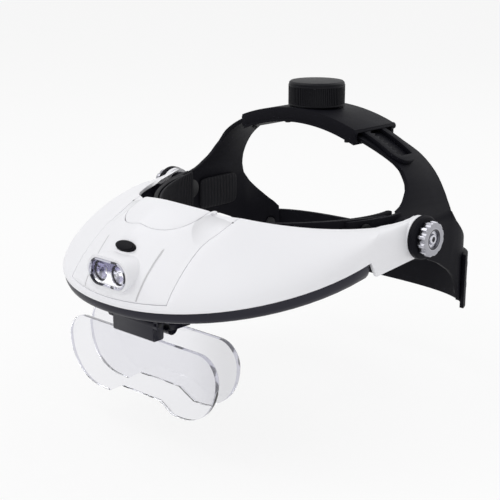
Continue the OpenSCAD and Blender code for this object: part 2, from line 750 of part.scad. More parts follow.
// Side view outline of a side frame: temple plate, crown strap and the tab to the nape
module side_outline() {
    f = crown_y - strap_w / 2;
    r = crown_y + strap_w / 2;
    polygon([[-30, 9], [-6, 9.6], [0, 10.3], [4.6, 11.8], [7.5, 13.5], [9.4, 15], [13.1, 18], [15.2, 21],
        [16.2, 24], [17.2, 27], [16.8, 30], [15.6, 33], [13, 39], [f, 46], [f, 70], [r, 70], [r, crown_z - 8],
        [41.2, 33], [42.3, 24], [43, 15], [44, 9], [46, 3], [51, -3], [61, -12], [67, -18], [69, -21],
        [69, -50], [60, -50.5], [55, -40], [51, -34.2], [46, -29.7], [36, -23.7], [25, -19.2], [9, -16.6],
        [-12, -14], [-30, -10.4]]);
}
// The children, kept inside the side outline on side m, from x = x0 outwards
module side_prism(m, x0) {
    intersection() {
        union() children();
        rotate([90, 0, 90]) translate([0, 0, m > 0 ? x0 : -120])
            linear_extrude(height = 120 - x0) side_outline();
    }
}

// Crown arc: a layer at radius r about the arc's centre, then a tighter arc down to the temple
arc_z = crown_z - crown_r;
base_t = 1.4;
layer_gap = 0.2;
low_r = crown_r + base_t + layer_gap;
high_r = low_r + strap_t + layer_gap;
shoulder_a = 32;
function bend_r(r) = (head_half_w - r * sin(shoulder_a)) / (1 - sin(shoulder_a));
function strap_line(r, o, a0) =
    let (b = bend_r(r), cx = (r - b) * sin(shoulder_a), cz = arc_z + (r - b) * cos(shoulder_a), n = 12)
    concat([for (i = [0:8]) let (a = lerp(a0, shoulder_a, i / 8))
            [(r + o) * sin(a), arc_z + (r + o) * cos(a)]],
        [for (i = [1:n]) let (a = lerp(shoulder_a, 90, i / n))
            [cx + (b + o) * sin(a), cz + (b + o) * cos(a)]],
        [[head_half_w + o, -60]]);
module strap_slab(m, r, o0, o1) {
    a0 = asin((housing_half_l - 2) / r);
    inner = strap_line(r, o0, a0);
    outer = strap_line(r, o1, a0);
    n = len(outer);
    half = concat(outer, [for (i = [n - 1:-1:0]) inner[i]]);
    translate([0, temple_y, 0]) rotate([90, 0, 0]) linear_extrude(height = temple_y)
        polygon(m > 0 ? [for (i = [len(half) - 1:-1:0]) half[i]] : [for (p = half) [-p.x, p.y]]);
}

boss_d = 17;
rivet_d = 3;
rivet_head_d = 5.4;
brow_y = -21;
nape_y = 65.5;
brow_b = brow_front - strap_t;
nape_b = nape_back - temple_y;
function brow_x(y) = head_half_w * pow(1 - pow(-y / brow_b, brow_exp), 1 / brow_exp);
function nape_x(y) = head_half_w * pow(1 - pow((y - temple_y) / nape_b, nape_exp), 1 / nape_exp);
brow_turn = atan2(pow(-brow_y / brow_b, brow_exp - 1) / brow_b,
    pow(brow_x(brow_y) / head_half_w, brow_exp - 1) / head_half_w);
nape_turn = -atan2(pow((nape_y - temple_y) / nape_b, nape_exp - 1) / nape_b,
    pow(nape_x(nape_y) / head_half_w, nape_exp - 1) / head_half_w);
// Growth of an offset from the loop's plan curve, at the rivets
brow_k = cos(brow_turn) * brow_x(brow_y) / head_half_w - sin(brow_turn) * brow_y / brow_b;
nape_k = cos(nape_turn) * nape_x(nape_y) / head_half_w - sin(nape_turn) * (nape_y - temple_y) / nape_b;
nape_face = nape_k * (2 * strap_t + layer_gap);
module at_rivets(y, turn, x, zs) {
    for (m = [-1, 1], z = zs) translate([m * x, y, z]) rotate([0, 0, -m * turn]) rotate([0, m * 90, 0])
        children();
}
module at_brow_rivets() {
    at_rivets(brow_y, brow_turn, brow_x(brow_y), [-5, 5]) children();
}
module at_nape_rivets() {
    at_rivets(nape_y, nape_turn, nape_x(nape_y), [-43, -31]) children();
}
module rivet_hole() {
    translate([0, 0, -5]) cylinder(d = rivet_d + 2 * slide_gap, h = 14);
}
module side_frame(m, r) {
    color(black) difference() {
        union() {
            side_prism(m, 20) {
                strap_slab(m, r, 0, strap_t);
                intersection() {
                    loop_band(0, strap_t, -60, 20);
                    union() {
                        translate([-100, -100, -70]) cube([200, 100, 100]);
                        translate([-100, temple_y, -70]) cube([200, 100, 100]);
                    }
                }
            }
            on_pivot(m, head_half_w + eps) cylinder(d = boss_d, h = boss_out - head_half_w - eps);
        }
        on_pivot(m, head_half_w - over) cylinder(d = bolt_d + 2 * run_gap, h = 20);
        on_pivot(m, head_half_w - 5) cylinder(d = bolt_head_d + 0.4, h = 5);
        at_brow_rivets() rivet_hole();
        at_nape_rivets() rivet_hole();
    }
}
module side_frame_left() { side_frame(1, low_r); }
module side_frame_right() { side_frame(-1, high_r); }

band_end = -7;
module forehead_band() {
    color(black) difference() {
        intersection() {
            loop_band(-strap_t - layer_gap, -layer_gap, -band_drop, band_top);
            translate([-100, -150, -50]) cube([200, 150 + band_end, 100]);
        }
        at_brow_rivets() {
            rivet_hole();
            translate([0, 0, -brow_k * (strap_t + layer_gap) - over])
                cylinder(d = rivet_head_d + 0.4, h = over + 1.2);
        }
    }
}

// The forehead pad is a ribbed cushion along the band's inner face. Its ribs stand upright.
pad_steps = 3;
pad_sides = 10;
pad_back = strap_t + 2 * layer_gap + face_gap;
function pad_section(a, dent) =
    let (z1 = band_top + pad_proud + pad_rise * pow(abs(a) / pad_end_a, 6), z0 = 1 - band_drop,
        zc = (z0 + z1) / 2, hz = (z1 - z0) / 2)
    [for (j = [0:pad_sides - 1]) let (g = 360 * (j + 0.5) / pad_sides, u = cos(g), v = sin(g),
        o = sign(u) * pow(abs(u), 0.55), z = zc + hz * sign(v) * pow(abs(v), 0.5),
        d = -pad_back - pad_t / 2 * (1 - o) + (o < 0 ? dent * abs(o) : 0), p = front_pt(d, abs(a)))
        [sign(a) * p.x, p.y, z]];
pad_end_a = 88;
pad_ribs = 2 * round(pad_end_a * 1.05 / pad_rib);
module forehead_pad() {
    n = pad_ribs * pad_steps;
    color(black) ring_stack([for (i = [0:n]) let (a = lerp(-pad_end_a, pad_end_a, i / n))
        pad_section(a + 0.0001, i % pad_steps == 0 ? 0.9 : 0)]);
}

// The temple pads are crowned cushions. Their backs follow the side frames.
temple_pad_t = 2.6;
pad_y = [7, 38];
pad_z = [-14, 4.6];
function cushion_ring(hy, hz, x) = [for (i = [0:31]) let (a = 360 * i / 32)
    [x, (pad_y[0] + pad_y[1]) / 2 + hy * sign(cos(a)) * pow(abs(cos(a)), 0.4),
        (pad_z[0] + pad_z[1]) / 2 + hz * sign(sin(a)) * pow(abs(sin(a)), 0.55)]];
function temple_ring(hy, hz, depth) = [for (p = cushion_ring(hy, hz, 0))
    [head_half_w - depth, p.y, p.z]];
module temple_pads() {
    hy = (pad_y[1] - pad_y[0]) / 2;
    hz = (pad_z[1] - pad_z[0]) / 2;
    color(black) for (m = [0, 1]) mirror([m, 0, 0]) difference() {
        ring_stack([for (c = [[-1, 0.6], [0.4, 0], [0.75, 0.5], [0.93, 1.6], [1, 3.6]])
            temple_ring(hy - c[1], hz - c[1], temple_pad_t * c[0])]);
        strap_slab(1, m == 0 ? low_r : high_r, -face_gap, 2 * temple_pad_t);
    }
}

nape_lap = 60;
module nape_band() {
    o0 = strap_t + layer_gap;
    color(black) difference() {
        intersection() {
            loop_band(o0, o0 + strap_t, -nape_drop, -nape_drop + nape_h);
            translate([-100, nape_lap, -80]) cube([200, 100, 100]);
        }
        at_nape_rivets() {
            rivet_hole();
            translate([0, 0, nape_face - 1.2]) cylinder(d = rivet_head_d + 0.4, h = over + 1.2);
        }
    }
}

// Rivet: a shank with a flat head at each end, from depth z0 to z1
module rivet(z0, z1) {
    head = 1;
    translate([0, 0, z0]) cylinder(d = rivet_d, h = z1 - z0);
    translate([0, 0, z0]) cylinder(d = rivet_head_d, h = head);
    translate([0, 0, z1 - head]) cylinder(d = rivet_head_d, h = head);
}
module band_rivets() {
    color(black) at_brow_rivets() rivet(-brow_k * (strap_t + layer_gap) + 0.05, brow_k * strap_t + 1.15);
}
module nape_rivets() {
    color(black) at_nape_rivets() rivet(-1.35, nape_face - 0.05);
}

bolt_head_d = 11;
bolt_head_t = 1.5;
module pivot_bolts() {
    color(silver) for (m = [-1, 1]) {
        on_pivot(m, head_half_w - bolt_head_t - 0.02) cylinder(d = bolt_head_d, h = bolt_head_t);
        on_pivot(m, head_half_w - 0.1) cylinder(d = bolt_d, h = knob_in + side_knob_t - 2.6 - head_half_w);
    }
}
module friction_washers() {
    color(silver) for (m = [-1, 1]) on_pivot(m, boss_out + face_gap) difference() {
        cylinder(d = boss_d - 2, h = washer_t);
        translate([0, 0, -over]) cylinder(d = bolt_d + 2 * slide_gap, h = washer_t + 2 * over);
    }
}

knob_recess = 1.6;
module side_knob(m) {
    color(silver) on_pivot(m, knob_in) difference() {
        union() {
            cylinder(d = side_knob_d - 4, h = side_knob_t);
            cylinder(d = side_knob_d, h = side_knob_t - 0.6);
            translate([0, 0, side_knob_t - 0.6]) cylinder(d1 = side_knob_d, d2 = side_knob_d - 1.2, h = 0.6);
        }
        for (i = [0:scallops - 1]) rotate([0, 0, 360 * i / scallops])
            translate([side_knob_d / 2 + 0.9, 0, -over])
                cylinder(d = 3.6, h = side_knob_t + 2 * over, $fn = 24);
        translate([0, 0, side_knob_t - knob_recess]) cylinder(d = side_knob_d * 0.52, h = knob_recess + over);
        translate([0, 0, -over]) cylinder(d = bolt_d + 2 * run_gap, h = side_knob_t - 2.4 + over);
        cylinder(d = 2.2, h = side_knob_t);
    }
}
module side_knob_left() { side_knob(1); }
module side_knob_right() { side_knob(-1); }

module knob_screw(m) {
    seat = side_knob_t - knob_recess + 0.02;
    color(silver) on_pivot(m, knob_in) difference() {
        union() {
            translate([0, 0, seat]) cylinder(d1 = 5.6, d2 = 4.4, h = 1.2);
            translate([0, 0, seat - 0.9]) cylinder(d = 2, h = 1);
        }
        for (a = [0, 90]) rotate([0, 0, a]) translate([-1.5, -0.3, seat + 0.7]) cube([3, 0.6, 1]);
    }
}
module knob_screw_left() { knob_screw(1); }
module knob_screw_right() { knob_screw(-1); }

// Crown ratchet housing
housing_in = strap_w + 2 * curve_gap;
roof_r = high_r + strap_t + layer_gap;
roof_t = 1.4;
top_r = roof_r + roof_t;
arc_fn = 180;
// A slab of the crown arc between two radii, of width w across the strap, up to x = l each way
module arc_slab(r0, r1, w, l) {
    intersection() {
        translate([0, crown_y + w / 2, arc_z]) rotate([90, 0, 0]) linear_extrude(height = w) difference() {
            circle(r = r1, $fn = arc_fn);
            circle(r = r0, $fn = arc_fn);
        }
        translate([-l, crown_y - w, 0]) cube([2 * l, 2 * w, 100]);
    }
}
stem_d = 5;
boss_x = 33;
bar_d = 3.6;
module ratchet_housing() {
    y_in = strap_w / 2 - 0.3;
    color(black) difference() {
        union() {
            arc_slab(crown_r + base_t + face_gap, top_r, housing_w, housing_half_l);
            for (m = [-1, 1]) translate([m * (housing_half_l - 1.4), crown_y - housing_w / 2, arc_z +
                sqrt(top_r * top_r - pow(housing_half_l - 1.4, 2)) - 2.3])
                rotate([-90, 0, 0]) cylinder(d = bar_d, h = housing_w + 1.5);
        }
        difference() {
            arc_slab(crown_r, roof_r, housing_in, housing_half_l + over);
            for (mx = [-1, 1], my = [-1, 1]) translate([mx * boss_x, crown_y + my * y_in, 20])
                cylinder(d = 4.4, h = 60);
        }
        translate([0, crown_y, 0]) cylinder(d = stem_d + 2 * run_gap, h = 80);
        for (mx = [-1, 1], my = [-1, 1]) translate([mx * boss_x, crown_y + my * y_in, 20])
            cylinder(d = 1.8, h = arc_z + sqrt(roof_r * roof_r - boss_x * boss_x) - 20);
    }
}
pin_d = 3;
module ratchet_base() {
    y_in = strap_w / 2 - 0.3;
    color(black) difference() {
        arc_slab(crown_r, crown_r + base_t, housing_w, housing_half_l - 0.8);
        translate([0, crown_y, 0]) cylinder(d = pin_d + 2 * run_gap, h = 80);
        for (mx = [-1, 1], my = [-1, 1]) translate([mx * boss_x, crown_y + my * y_in, 20])
            cylinder(d = 1.9, h = 60);
    }
}
module ratchet_screws() {
    y_in = strap_w / 2 - 0.3;
    foot = arc_z + sqrt(crown_r * crown_r - pow(boss_x + 1.7, 2));
    color(silver) for (mx = [-1, 1], my = [-1, 1])
        translate([mx * boss_x, crown_y + my * y_in, foot - 1.05]) {
        cylinder(d = 3.2, h = 1);
        cylinder(d = 1.6, h = 6);
    }
}

// Pinion and racks: the racks' slots have teeth on opposite sides, so they move opposite ways.
pitch_r = tooth_m * pinion_teeth / 2;
tip_r = pitch_r + 0.75 * tooth_m;
root_r = pitch_r - 1.1 * tooth_m;
stem_top = crown_z + top_r - crown_r + curve_gap;
pinion_z = crown_z + base_t + 0.15;
pinion_h = high_r + strap_t - crown_r - base_t - 0.1;
module pinion_shaft() {
    color(silver) translate([0, crown_y, 0]) {
        translate([0, 0, pinion_z]) cylinder(r = root_r, h = pinion_h);
        for (i = [0:pinion_teeth - 1]) rotate([0, 0, -90 + 360 * (i + 0.5) / pinion_teeth])
            translate([0, 0, pinion_z]) linear_extrude(height = pinion_h)
                polygon([[root_r - 0.3, -0.95], [root_r - 0.3, 0.95], [pitch_r, 0.62], [tip_r, 0.32],
                    [tip_r, -0.32], [pitch_r, -0.62]]);
        translate([0, 0, crown_z + 0.2]) cylinder(d = pin_d, h = 2);
        translate([0, 0, crown_z + 4]) cylinder(d = stem_d, h = stem_top + 7 - crown_z - 4);
    }
}

// Rack about the crown arc's axis, with its tongue on side dir and the slot's teeth on side m
slot_r = tip_r + 0.45;
crest = root_r + 0.35;
bed = tip_r + 0.35;
tongue_wall = 4.6;
function travel_a(mid) = 180 / PI * rack_travel / mid;
module rack(r, dir, m, reach) {
    mid = r + strap_t / 2;
    deg = 180 / PI / mid;
    pitch_a = 180 * tooth_m / mid;
    w = tongue_w;
    root = asin((housing_half_l - 3.2) / r) - travel_a(mid);
    tip = asin((housing_half_l + reach) / r);
    end_a = dir * (tip - deg * w / 2);
    slot_a0 = -dir * (root - 2 * deg);
    slot_a1 = dir * (tip - deg * tongue_wall);
    shift = m > 0 ? 0 : 0.5;
    first = ceil((min(slot_a0, slot_a1) + 2 * deg) / pitch_a - shift);
    last = floor((max(slot_a0, slot_a1) - 2 * deg) / pitch_a - shift);
    groove = m > 0 ? [[-1.25, crest - eps], [1.25, crest - eps], [0.6, bed], [-0.6, bed]]
        : [[-0.6, -bed], [0.6, -bed], [1.25, eps - crest], [-1.25, eps - crest]];
    color(black) translate([0, crown_y, arc_z]) difference() {
        intersection() {
            rotate([90, 0, 0]) translate([0, 0, -w / 2]) linear_extrude(height = w) difference() {
                circle(r = r + strap_t, $fn = arc_fn);
                circle(r = r, $fn = arc_fn);
            }
            union() {
                rack_wedge(-dir * root, end_a, -w / 2 - over, w / 2 + over);
                rotate([0, end_a, 0]) cylinder(d = w, h = 2 * r);
            }
        }
        rack_wedge(slot_a0, slot_a1, m > 0 ? -slot_r : -crest, m > 0 ? crest : slot_r);
        for (k = [first:last]) rotate([0, (k + shift) * pitch_a, 0]) translate([0, 0, r - 3])
            linear_extrude(height = strap_t + 6) polygon(groove);
    }
}
// Wedge of the crown arc between two angles, and between y0 and y1 across it
module rack_wedge(a0, a1, y0, y1) {
    big = 140;
    lo = min(a0, a1);
    hi = max(a0, a1);
    rotate([90, 0, 0]) translate([0, 0, -y1]) linear_extrude(height = y1 - y0)
        polygon(concat([[0, 0]],
            [for (i = [0:6]) let (a = lerp(lo, hi, i / 6)) [big * sin(a), big * cos(a)]]));
}
inner_reach = 8;
module rack_left() { rack(high_r, 1, -1, tongue_reach); }
module rack_right() { rack(low_r, -1, 1, inner_reach); }

// Crown knob
skirt_z = stem_top;
cap_t = 2.4;
module crown_knob() {
    groove = 0.7;
    color(black) translate([0, crown_y, skirt_z]) difference() {
        cylinder(d = knob_d, h = knob_h - cap_t);
        for (i = [0:knob_grooves - 1]) rotate([0, 0, 360 * i / knob_grooves])
            translate([knob_d / 2 + 0.15, 0, 1]) cylinder(d = groove, h = knob_h, $fn = 6);
        translate([0, 0, -over]) cylinder(d = stem_d + 2 * slide_gap, h = 7.1 + over);
        translate([0, 0, 7]) cylinder(d = 2.4, h = 6);
        translate([0, 0, knob_h - cap_t - 2]) cylinder(d = 8, h = 3);
    }
}
module crown_knob_cap() {
    r = knob_d / 2 - 0.3;
    bevel = 0.8;
    rise = 0.6;
    color(black) translate([0, crown_y, skirt_z + knob_h - cap_t + 0.02]) rotate_extrude()
        polygon(concat([[0, 0], [r, 0], [r, cap_t - rise - bevel]],
            [for (i = [0:8]) let (x = (r - bevel) * (1 - i / 8))
                [x, cap_t - rise + rise * (1 - pow(x / (r - bevel), 2))]]));
}
module crown_knob_screw() {
    color(silver) translate([0, crown_y, skirt_z + knob_h - cap_t - 1.95]) {
        cylinder(d = 5.4, h = 1.5);
        translate([0, 0, -1.7]) cylinder(d = 2.2, h = 1.8);
    }
}

side_frame_left();
side_frame_right();
forehead_band();
forehead_pad();
temple_pads();
nape_band();
band_rivets();
nape_rivets();
ratchet_housing();
ratchet_base();
ratchet_screws();
pivot_bolts();
friction_washers();
rack_left();
rack_right();
crown_knob();
crown_knob_cap();
pinion_shaft();
crown_knob_screw();
side_knob_left();
side_knob_right();
knob_screw_left();
knob_screw_right();
visor_shell();
console_cover();
under_tray();
pivot_disc_left();
pivot_disc_right();
lamp_bezel();
lamp_reflector();
lamp_window();
lamp_leds();
led_board();
switch_body();
switch_button();
battery_box();
battery_cells();
battery_contacts();
battery_lid();
tray_screws();
lens_bracket();
front_clip();
clip_hinge_pin();
clip_spring();
front_lens();
rear_lens();
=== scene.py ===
"""Dressed model of the head-worn loupe: moulded covers, ribbed cushions, knobs, lamp and clear plates."""

import json
import logging
import math
from collections.abc import Callable
from dataclasses import dataclass, field
from enum import Enum

import bmesh
import bpy
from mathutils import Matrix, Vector


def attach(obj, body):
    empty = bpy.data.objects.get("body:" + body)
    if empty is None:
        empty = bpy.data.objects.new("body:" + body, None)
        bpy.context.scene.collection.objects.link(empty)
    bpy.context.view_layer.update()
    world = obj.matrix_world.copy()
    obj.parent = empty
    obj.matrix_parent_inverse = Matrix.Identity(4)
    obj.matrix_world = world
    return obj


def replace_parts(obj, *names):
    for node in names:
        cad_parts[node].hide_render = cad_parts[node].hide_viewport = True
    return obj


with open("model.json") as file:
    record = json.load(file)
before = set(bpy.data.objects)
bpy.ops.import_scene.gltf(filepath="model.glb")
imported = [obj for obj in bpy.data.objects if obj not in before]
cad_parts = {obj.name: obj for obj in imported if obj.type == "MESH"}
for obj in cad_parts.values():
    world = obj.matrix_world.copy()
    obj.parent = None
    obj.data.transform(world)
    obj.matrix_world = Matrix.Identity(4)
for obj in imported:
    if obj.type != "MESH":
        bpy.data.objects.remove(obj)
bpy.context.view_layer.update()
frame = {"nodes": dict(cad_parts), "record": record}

LOG = logging.getLogger("loupe")
MM = 0.001


class Look(Enum):
    """Finishes of the loupe, named by their slots. DISC is a second finish of the plated slot."""

    WHITE = "white_plastic"
    BLACK = "black_plastic"
    RIVET = "rivet_plastic"
    PAD = "pad_rubber"
    KNOB = "knob_rubber"
    SWITCH = "switch_plastic"
    CHARCOAL = "charcoal_plastic"
    SILVER = "silver_plated"
    DISC = "silver_plated_disc"
    STEEL = "steel"
    MIRROR = "reflector_mirror"
    WINDOW = "lamp_clear"
    LED = "led_resin"
    BOARD = "board"
    CELL = "cell_wrap"
    LENS = "lens_clear"


class Sock:
    """A shader socket that takes part in Python arithmetic."""

    def __init__(self, tree: "Graph", out: bpy.types.NodeSocket) -> None:
        """Keeps the node tree and the output socket."""
        self.tree = tree
        self.out = out

    def _op(self, kind: str, a: object, b: object = 0.0) -> "Sock":
        """A Math node of one operation on two values."""
        return self.tree.node("ShaderNodeMath", {"operation": kind}, {0: a, 1: b})

    def __add__(self, other: object) -> "Sock":
        """Sum."""
        return self._op("ADD", self, other)

    __radd__ = __add__

    def __sub__(self, other: object) -> "Sock":
        """Difference."""
        return self._op("SUBTRACT", self, other)

    def __rsub__(self, other: object) -> "Sock":
        """Difference, reflected."""
        return self._op("SUBTRACT", other, self)

    def __mul__(self, other: object) -> "Sock":
        """Product."""
        return self._op("MULTIPLY", self, other)

    __rmul__ = __mul__

    def __truediv__(self, other: object) -> "Sock":
        """Quotient."""
        return self._op("DIVIDE", self, other)

    def size(self) -> "Sock":
        """Absolute value."""
        return self._op("ABSOLUTE", self)

    def root(self) -> "Sock":
        """Square root."""
        return self._op("SQRT", self)

    def sine(self) -> "Sock":
        """Sine."""
        return self._op("SINE", self)

    def most(self, other: object) -> "Sock":
        """The larger of two values."""
        return self._op("MAXIMUM", self, other)

    def under(self, edge: float, soft: float) -> "Sock":
        """1 below edge and 0 above it, with a soft step.

        Args:
            edge: the value at the middle of the step.
            soft: half the width of the step.

        Returns:
            The mask.
        """
        return self.tree.node(
            "ShaderNodeMapRange",
            {"interpolation_type": "SMOOTHSTEP"},
            {0: self, 1: edge - soft, 2: edge + soft, 3: 1.0, 4: 0.0},
        )


class Graph:
    """A node tree, written through one node method."""

    def __init__(self, tree: bpy.types.NodeTree) -> None:
        """Keeps the node tree."""
        self.tree = tree

    def node(self, kind: str, settings: dict, inputs: dict, output: object = 0) -> Sock:
        """Adds a node, its settings first and then its sockets.

        Args:
            kind: the node's type.
            settings: properties of the node.
            inputs: values or links by socket name or number.
            output: the output to return.

        Returns:
            The chosen output.
        """
        made = self.tree.nodes.new(kind)
        for key, value in settings.items():
            setattr(made, key, value)
        for key, value in inputs.items():
            self.feed(made.inputs[key], value)
        return Sock(self, made.outputs[output])

    def feed(self, socket: bpy.types.NodeSocket, value: object) -> None:
        """Sets a socket's value, or links it.

        Args:
            socket: the input socket.
            value: a number, a colour or another socket's output.
        """
        if isinstance(value, Sock):
            self.tree.links.new(value.out, socket)
        else:
            socket.default_value = value

    def plain_rays(self) -> Sock:
        """1 for what the camera sees, directly, mirrored or through clear pieces, and 0 for other light."""
        camera, glossy, through = (
            self.node("ShaderNodeLightPath", {}, {}, f"Is {kind} Ray")
            for kind in ("Camera", "Glossy", "Transmission")
        )
        return camera.most(glossy).most(through)


class Tree(Graph):
    """A material's node tree, on Object coordinates."""

    def __init__(self, name: str) -> None:
        """Starts a material with its Principled shader.

        Args:
            name: the material's name.
        """
        self.material = bpy.data.materials.new(name)
        self.material.use_nodes = True
        super().__init__(self.material.node_tree)
        self.shader = self.tree.nodes["Principled BSDF"]
        self.place = self.node("ShaderNodeTexCoord", {}, {}, "Object")

    def along(self, axis: str) -> Sock:
        """Object coordinate along X, Y or Z, in metres."""
        return self.node("ShaderNodeSeparateXYZ", {}, {0: self.place}, axis)

    def noise(self, scale: float, detail: float = 3.0, stretch: tuple = (1.0, 1.0, 1.0)) -> Sock:
        """Noise on Object coordinates.

        Args:
            scale: cells per metre.
            detail: octaves.
            stretch: scale along each axis.

        Returns:
            The noise from 0 to 1.
        """
        place = self.node("ShaderNodeMapping", {}, {"Vector": self.place, "Scale": stretch})
        return self.node("ShaderNodeTexNoise", {}, {"Vector": place, "Scale": scale, "Detail": detail})

    def mix(self, amount: object, a: object, b: object) -> Sock:
        """Colour mix from a to b."""
        return self.node("ShaderNodeMix", {"data_type": "RGBA"}, {0: amount, 6: a, 7: b}, 2)

    def bump(self, height: Sock, depth: float) -> Sock:
        """Bump normal of a height from 0 to 1, depth in metres."""
        sizes = {"Height": height, "Distance": depth, "Strength": 1.0}
        return self.node("ShaderNodeBump", {}, sizes, "Normal")

    def set(self, **values: object) -> None:
        """Sets the shader's sockets by name, underscores for spaces."""
        for key, value in values.items():
            self.feed(self.shader.inputs[key.replace("_", " ")], value)


def rgba(colour: tuple) -> tuple:
    """A colour with full alpha."""
    return (*colour[:3], 1.0)


def shade(colour: tuple, k: float) -> tuple:
    """A colour scaled by k."""
    return (colour[0] * k, colour[1] * k, colour[2] * k, 1.0)


@dataclass(frozen=True)
class Moulded:
    """Moulded plastic or rubber with a fine grain, mottled gloss and faint tone changes.

    Scales are in cells per metre, and depth is in metres.
    """

    colour: tuple
    rough: float = 0.42
    grain: float = 2600.0
    depth: float = 0.00002
    tone: float = 0.12
    coat: float = 0.0
    coat_rough: float = 0.22
    gloss: float = 0.5
    cloud: float = 28.0
    wear: float = 190.0
    worn_under: float = 0.36

    def paint(self, name: str) -> bpy.types.Material:
        """The material.

        Args:
            name: the material's name.

        Returns:
            The material.
        """
        t = Tree(name)
        broad = t.noise(self.cloud, 2.0)
        fine = t.noise(self.grain, 4.0)
        worn = t.noise(self.wear, 5.0)
        colour = t.mix(broad, shade(self.colour, 1 - self.tone), shade(self.colour, 1 + self.tone))
        rubbed = worn.under(self.worn_under, 0.05) * 0.25
        t.set(
            Base_Color=t.mix(rubbed, colour, shade(self.colour, 1 + 2 * self.tone)),
            Roughness=self.rough + (broad - 0.5) * 0.12 + (worn - 0.5) * 0.08,
            Normal=t.bump(fine, self.depth),
            Coat_Weight=self.coat,
            Coat_Roughness=self.coat_rough,
            Specular_IOR_Level=self.gloss,
        )
        return t.material


@dataclass(frozen=True)
class WhiteCover(Moulded):
    """Glossy white plastic, with painted shade along the console's two creases and in its finger hollows,
    and small dark marks.

    Places and sizes are in metres on the part. Both sides are alike.
    """

    coat_rough: float = 0.12
    crease_at: tuple = (0.0196, -0.110)
    crease_lean: float = 0.072
    crease_w: float = 0.00035
    crease_mid: float = -0.1285
    crease_half: float = 0.0195
    crease_low: float = -0.0193
    crease_shade_tone: float = 0.45
    hollow_at: tuple = (0.033, -0.0892)
    hollow_r: tuple = (0.0106, 0.0102)
    hollow_end: float = 0.0351
    hollow_tone: float = 0.27
    mark_at: tuple = (0.0353, -0.0787)
    mark_area: float = 0.00000035
    shade_and_mark_tone: float = 0.35

    def crease(self, x: Sock, y: Sock, z: Sock) -> Sock:
        """The two creases that run forward over the console, for their bump and their painted shade.

        Args:
            x: distance from the middle, in metres.
            y: coordinate, larger to the back.
            z: height.

        Returns:
            The mask.
        """
        line_x = self.crease_at[0] + (y - self.crease_at[1]) * self.crease_lean
        line = (x - line_x).size().under(self.crease_w, 0.00022)
        reach = (y - self.crease_mid).size().under(self.crease_half, 0.0006)
        return line * reach * (z * -1.0).under(-self.crease_low, 0.0003)

    def hollow(self, x: Sock, y: Sock) -> Sock:
        """The soft shade in each finger hollow, darkest on the inner side of its rear.

        Args:
            x: distance from the middle, in metres.
            y: coordinate, larger to the back.

        Returns:
            The mask.
        """
        across = (x - self.hollow_at[0]) / self.hollow_r[0]
        back = (y - self.hollow_at[1]) / self.hollow_r[1]
        radius = across * across + back * back
        ring = radius.under(1.0, 0.06) * (1.0 - radius.under(0.5, 0.5))
        return ring * (across - back * 0.6).under(-0.1, 0.7) * x.under(self.hollow_end, 0.0001)

    def mark(self, x: Sock, y: Sock) -> Sock:
        """The small round moulding mark beside each hollow.

        Args:
            x: distance from the middle, in metres.
            y: coordinate, larger to the back.

        Returns:
            The mask.
        """
        across = x - self.mark_at[0]
        back = y - self.mark_at[1]
        return (across * across + back * back).under(self.mark_area, 0.0000002)

    def paint(self, name: str) -> bpy.types.Material:
        """The material.

        Args:
            name: the material's name.

        Returns:
            The material.
        """
        t = Tree(name)
        x, y, z = t.along("X").size(), t.along("Y"), t.along("Z")
        line = self.crease(x, y, z)
        # Painted shade: the creases and the finger hollows are darkened, and the small marks are dark dots
        # in the same colour.
        dark = (line * self.crease_shade_tone + self.hollow(x, y) * self.hollow_tone).most(self.mark(x, y))
        broad = t.noise(22.0, 2.0)
        fine = t.noise(self.grain, 3.0)
        faint = t.mix(broad, shade(self.colour, 1 - self.tone), rgba(self.colour))
        t.set(
            Base_Color=t.mix(dark, faint, shade(self.colour, self.shade_and_mark_tone)),
            Roughness=self.rough + (broad - 0.5) * 0.08,
            Normal=t.bump(fine * 0.06 + (1.0 - line), self.depth),
            Coat_Weight=self.coat,
            Coat_Roughness=self.coat_rough,
        )
        return t.material


@dataclass(frozen=True)
class Plated:
    """Plated or brushed metal, with painted dark reflections in random streaks where asked. Scales are in
    cells per metre.
    """

    colour: tuple
    rough: float = 0.2
    brush: tuple = (1.0, 1.0, 1.0)
    depth: float = 0.000006
    dark_reflection_amount: float = 0.0
    dull: float = 0.86
    brush_scale: float = 1500.0
    dark_reflection_scale: float = 240.0
    uneven: float = 0.16

    def paint(self, name: str) -> bpy.types.Material:
        """The material.

        Args:
            name: the material's name.

        Returns:
            The material.
        """
        t = Tree(name)
        broad = t.noise(120.0, 3.0)
        fine = t.noise(self.brush_scale, 4.0, self.brush)
        plain = t.mix(broad, shade(self.colour, self.dull), rgba(self.colour))
        # Painted reflections: random dark streaks across the plating, used on the lamp bezel.
        dark_reflections = t.noise(self.dark_reflection_scale, 1.0).under(0.45, 0.025) * self.dark_reflection_amount
        t.set(
            Base_Color=t.mix(dark_reflections, plain, shade(self.colour, 0.03)),
            Metallic=1.0,
            Roughness=self.rough + (fine - 0.5) * self.uneven,
            Normal=t.bump(fine, self.depth),
        )
        return t.material


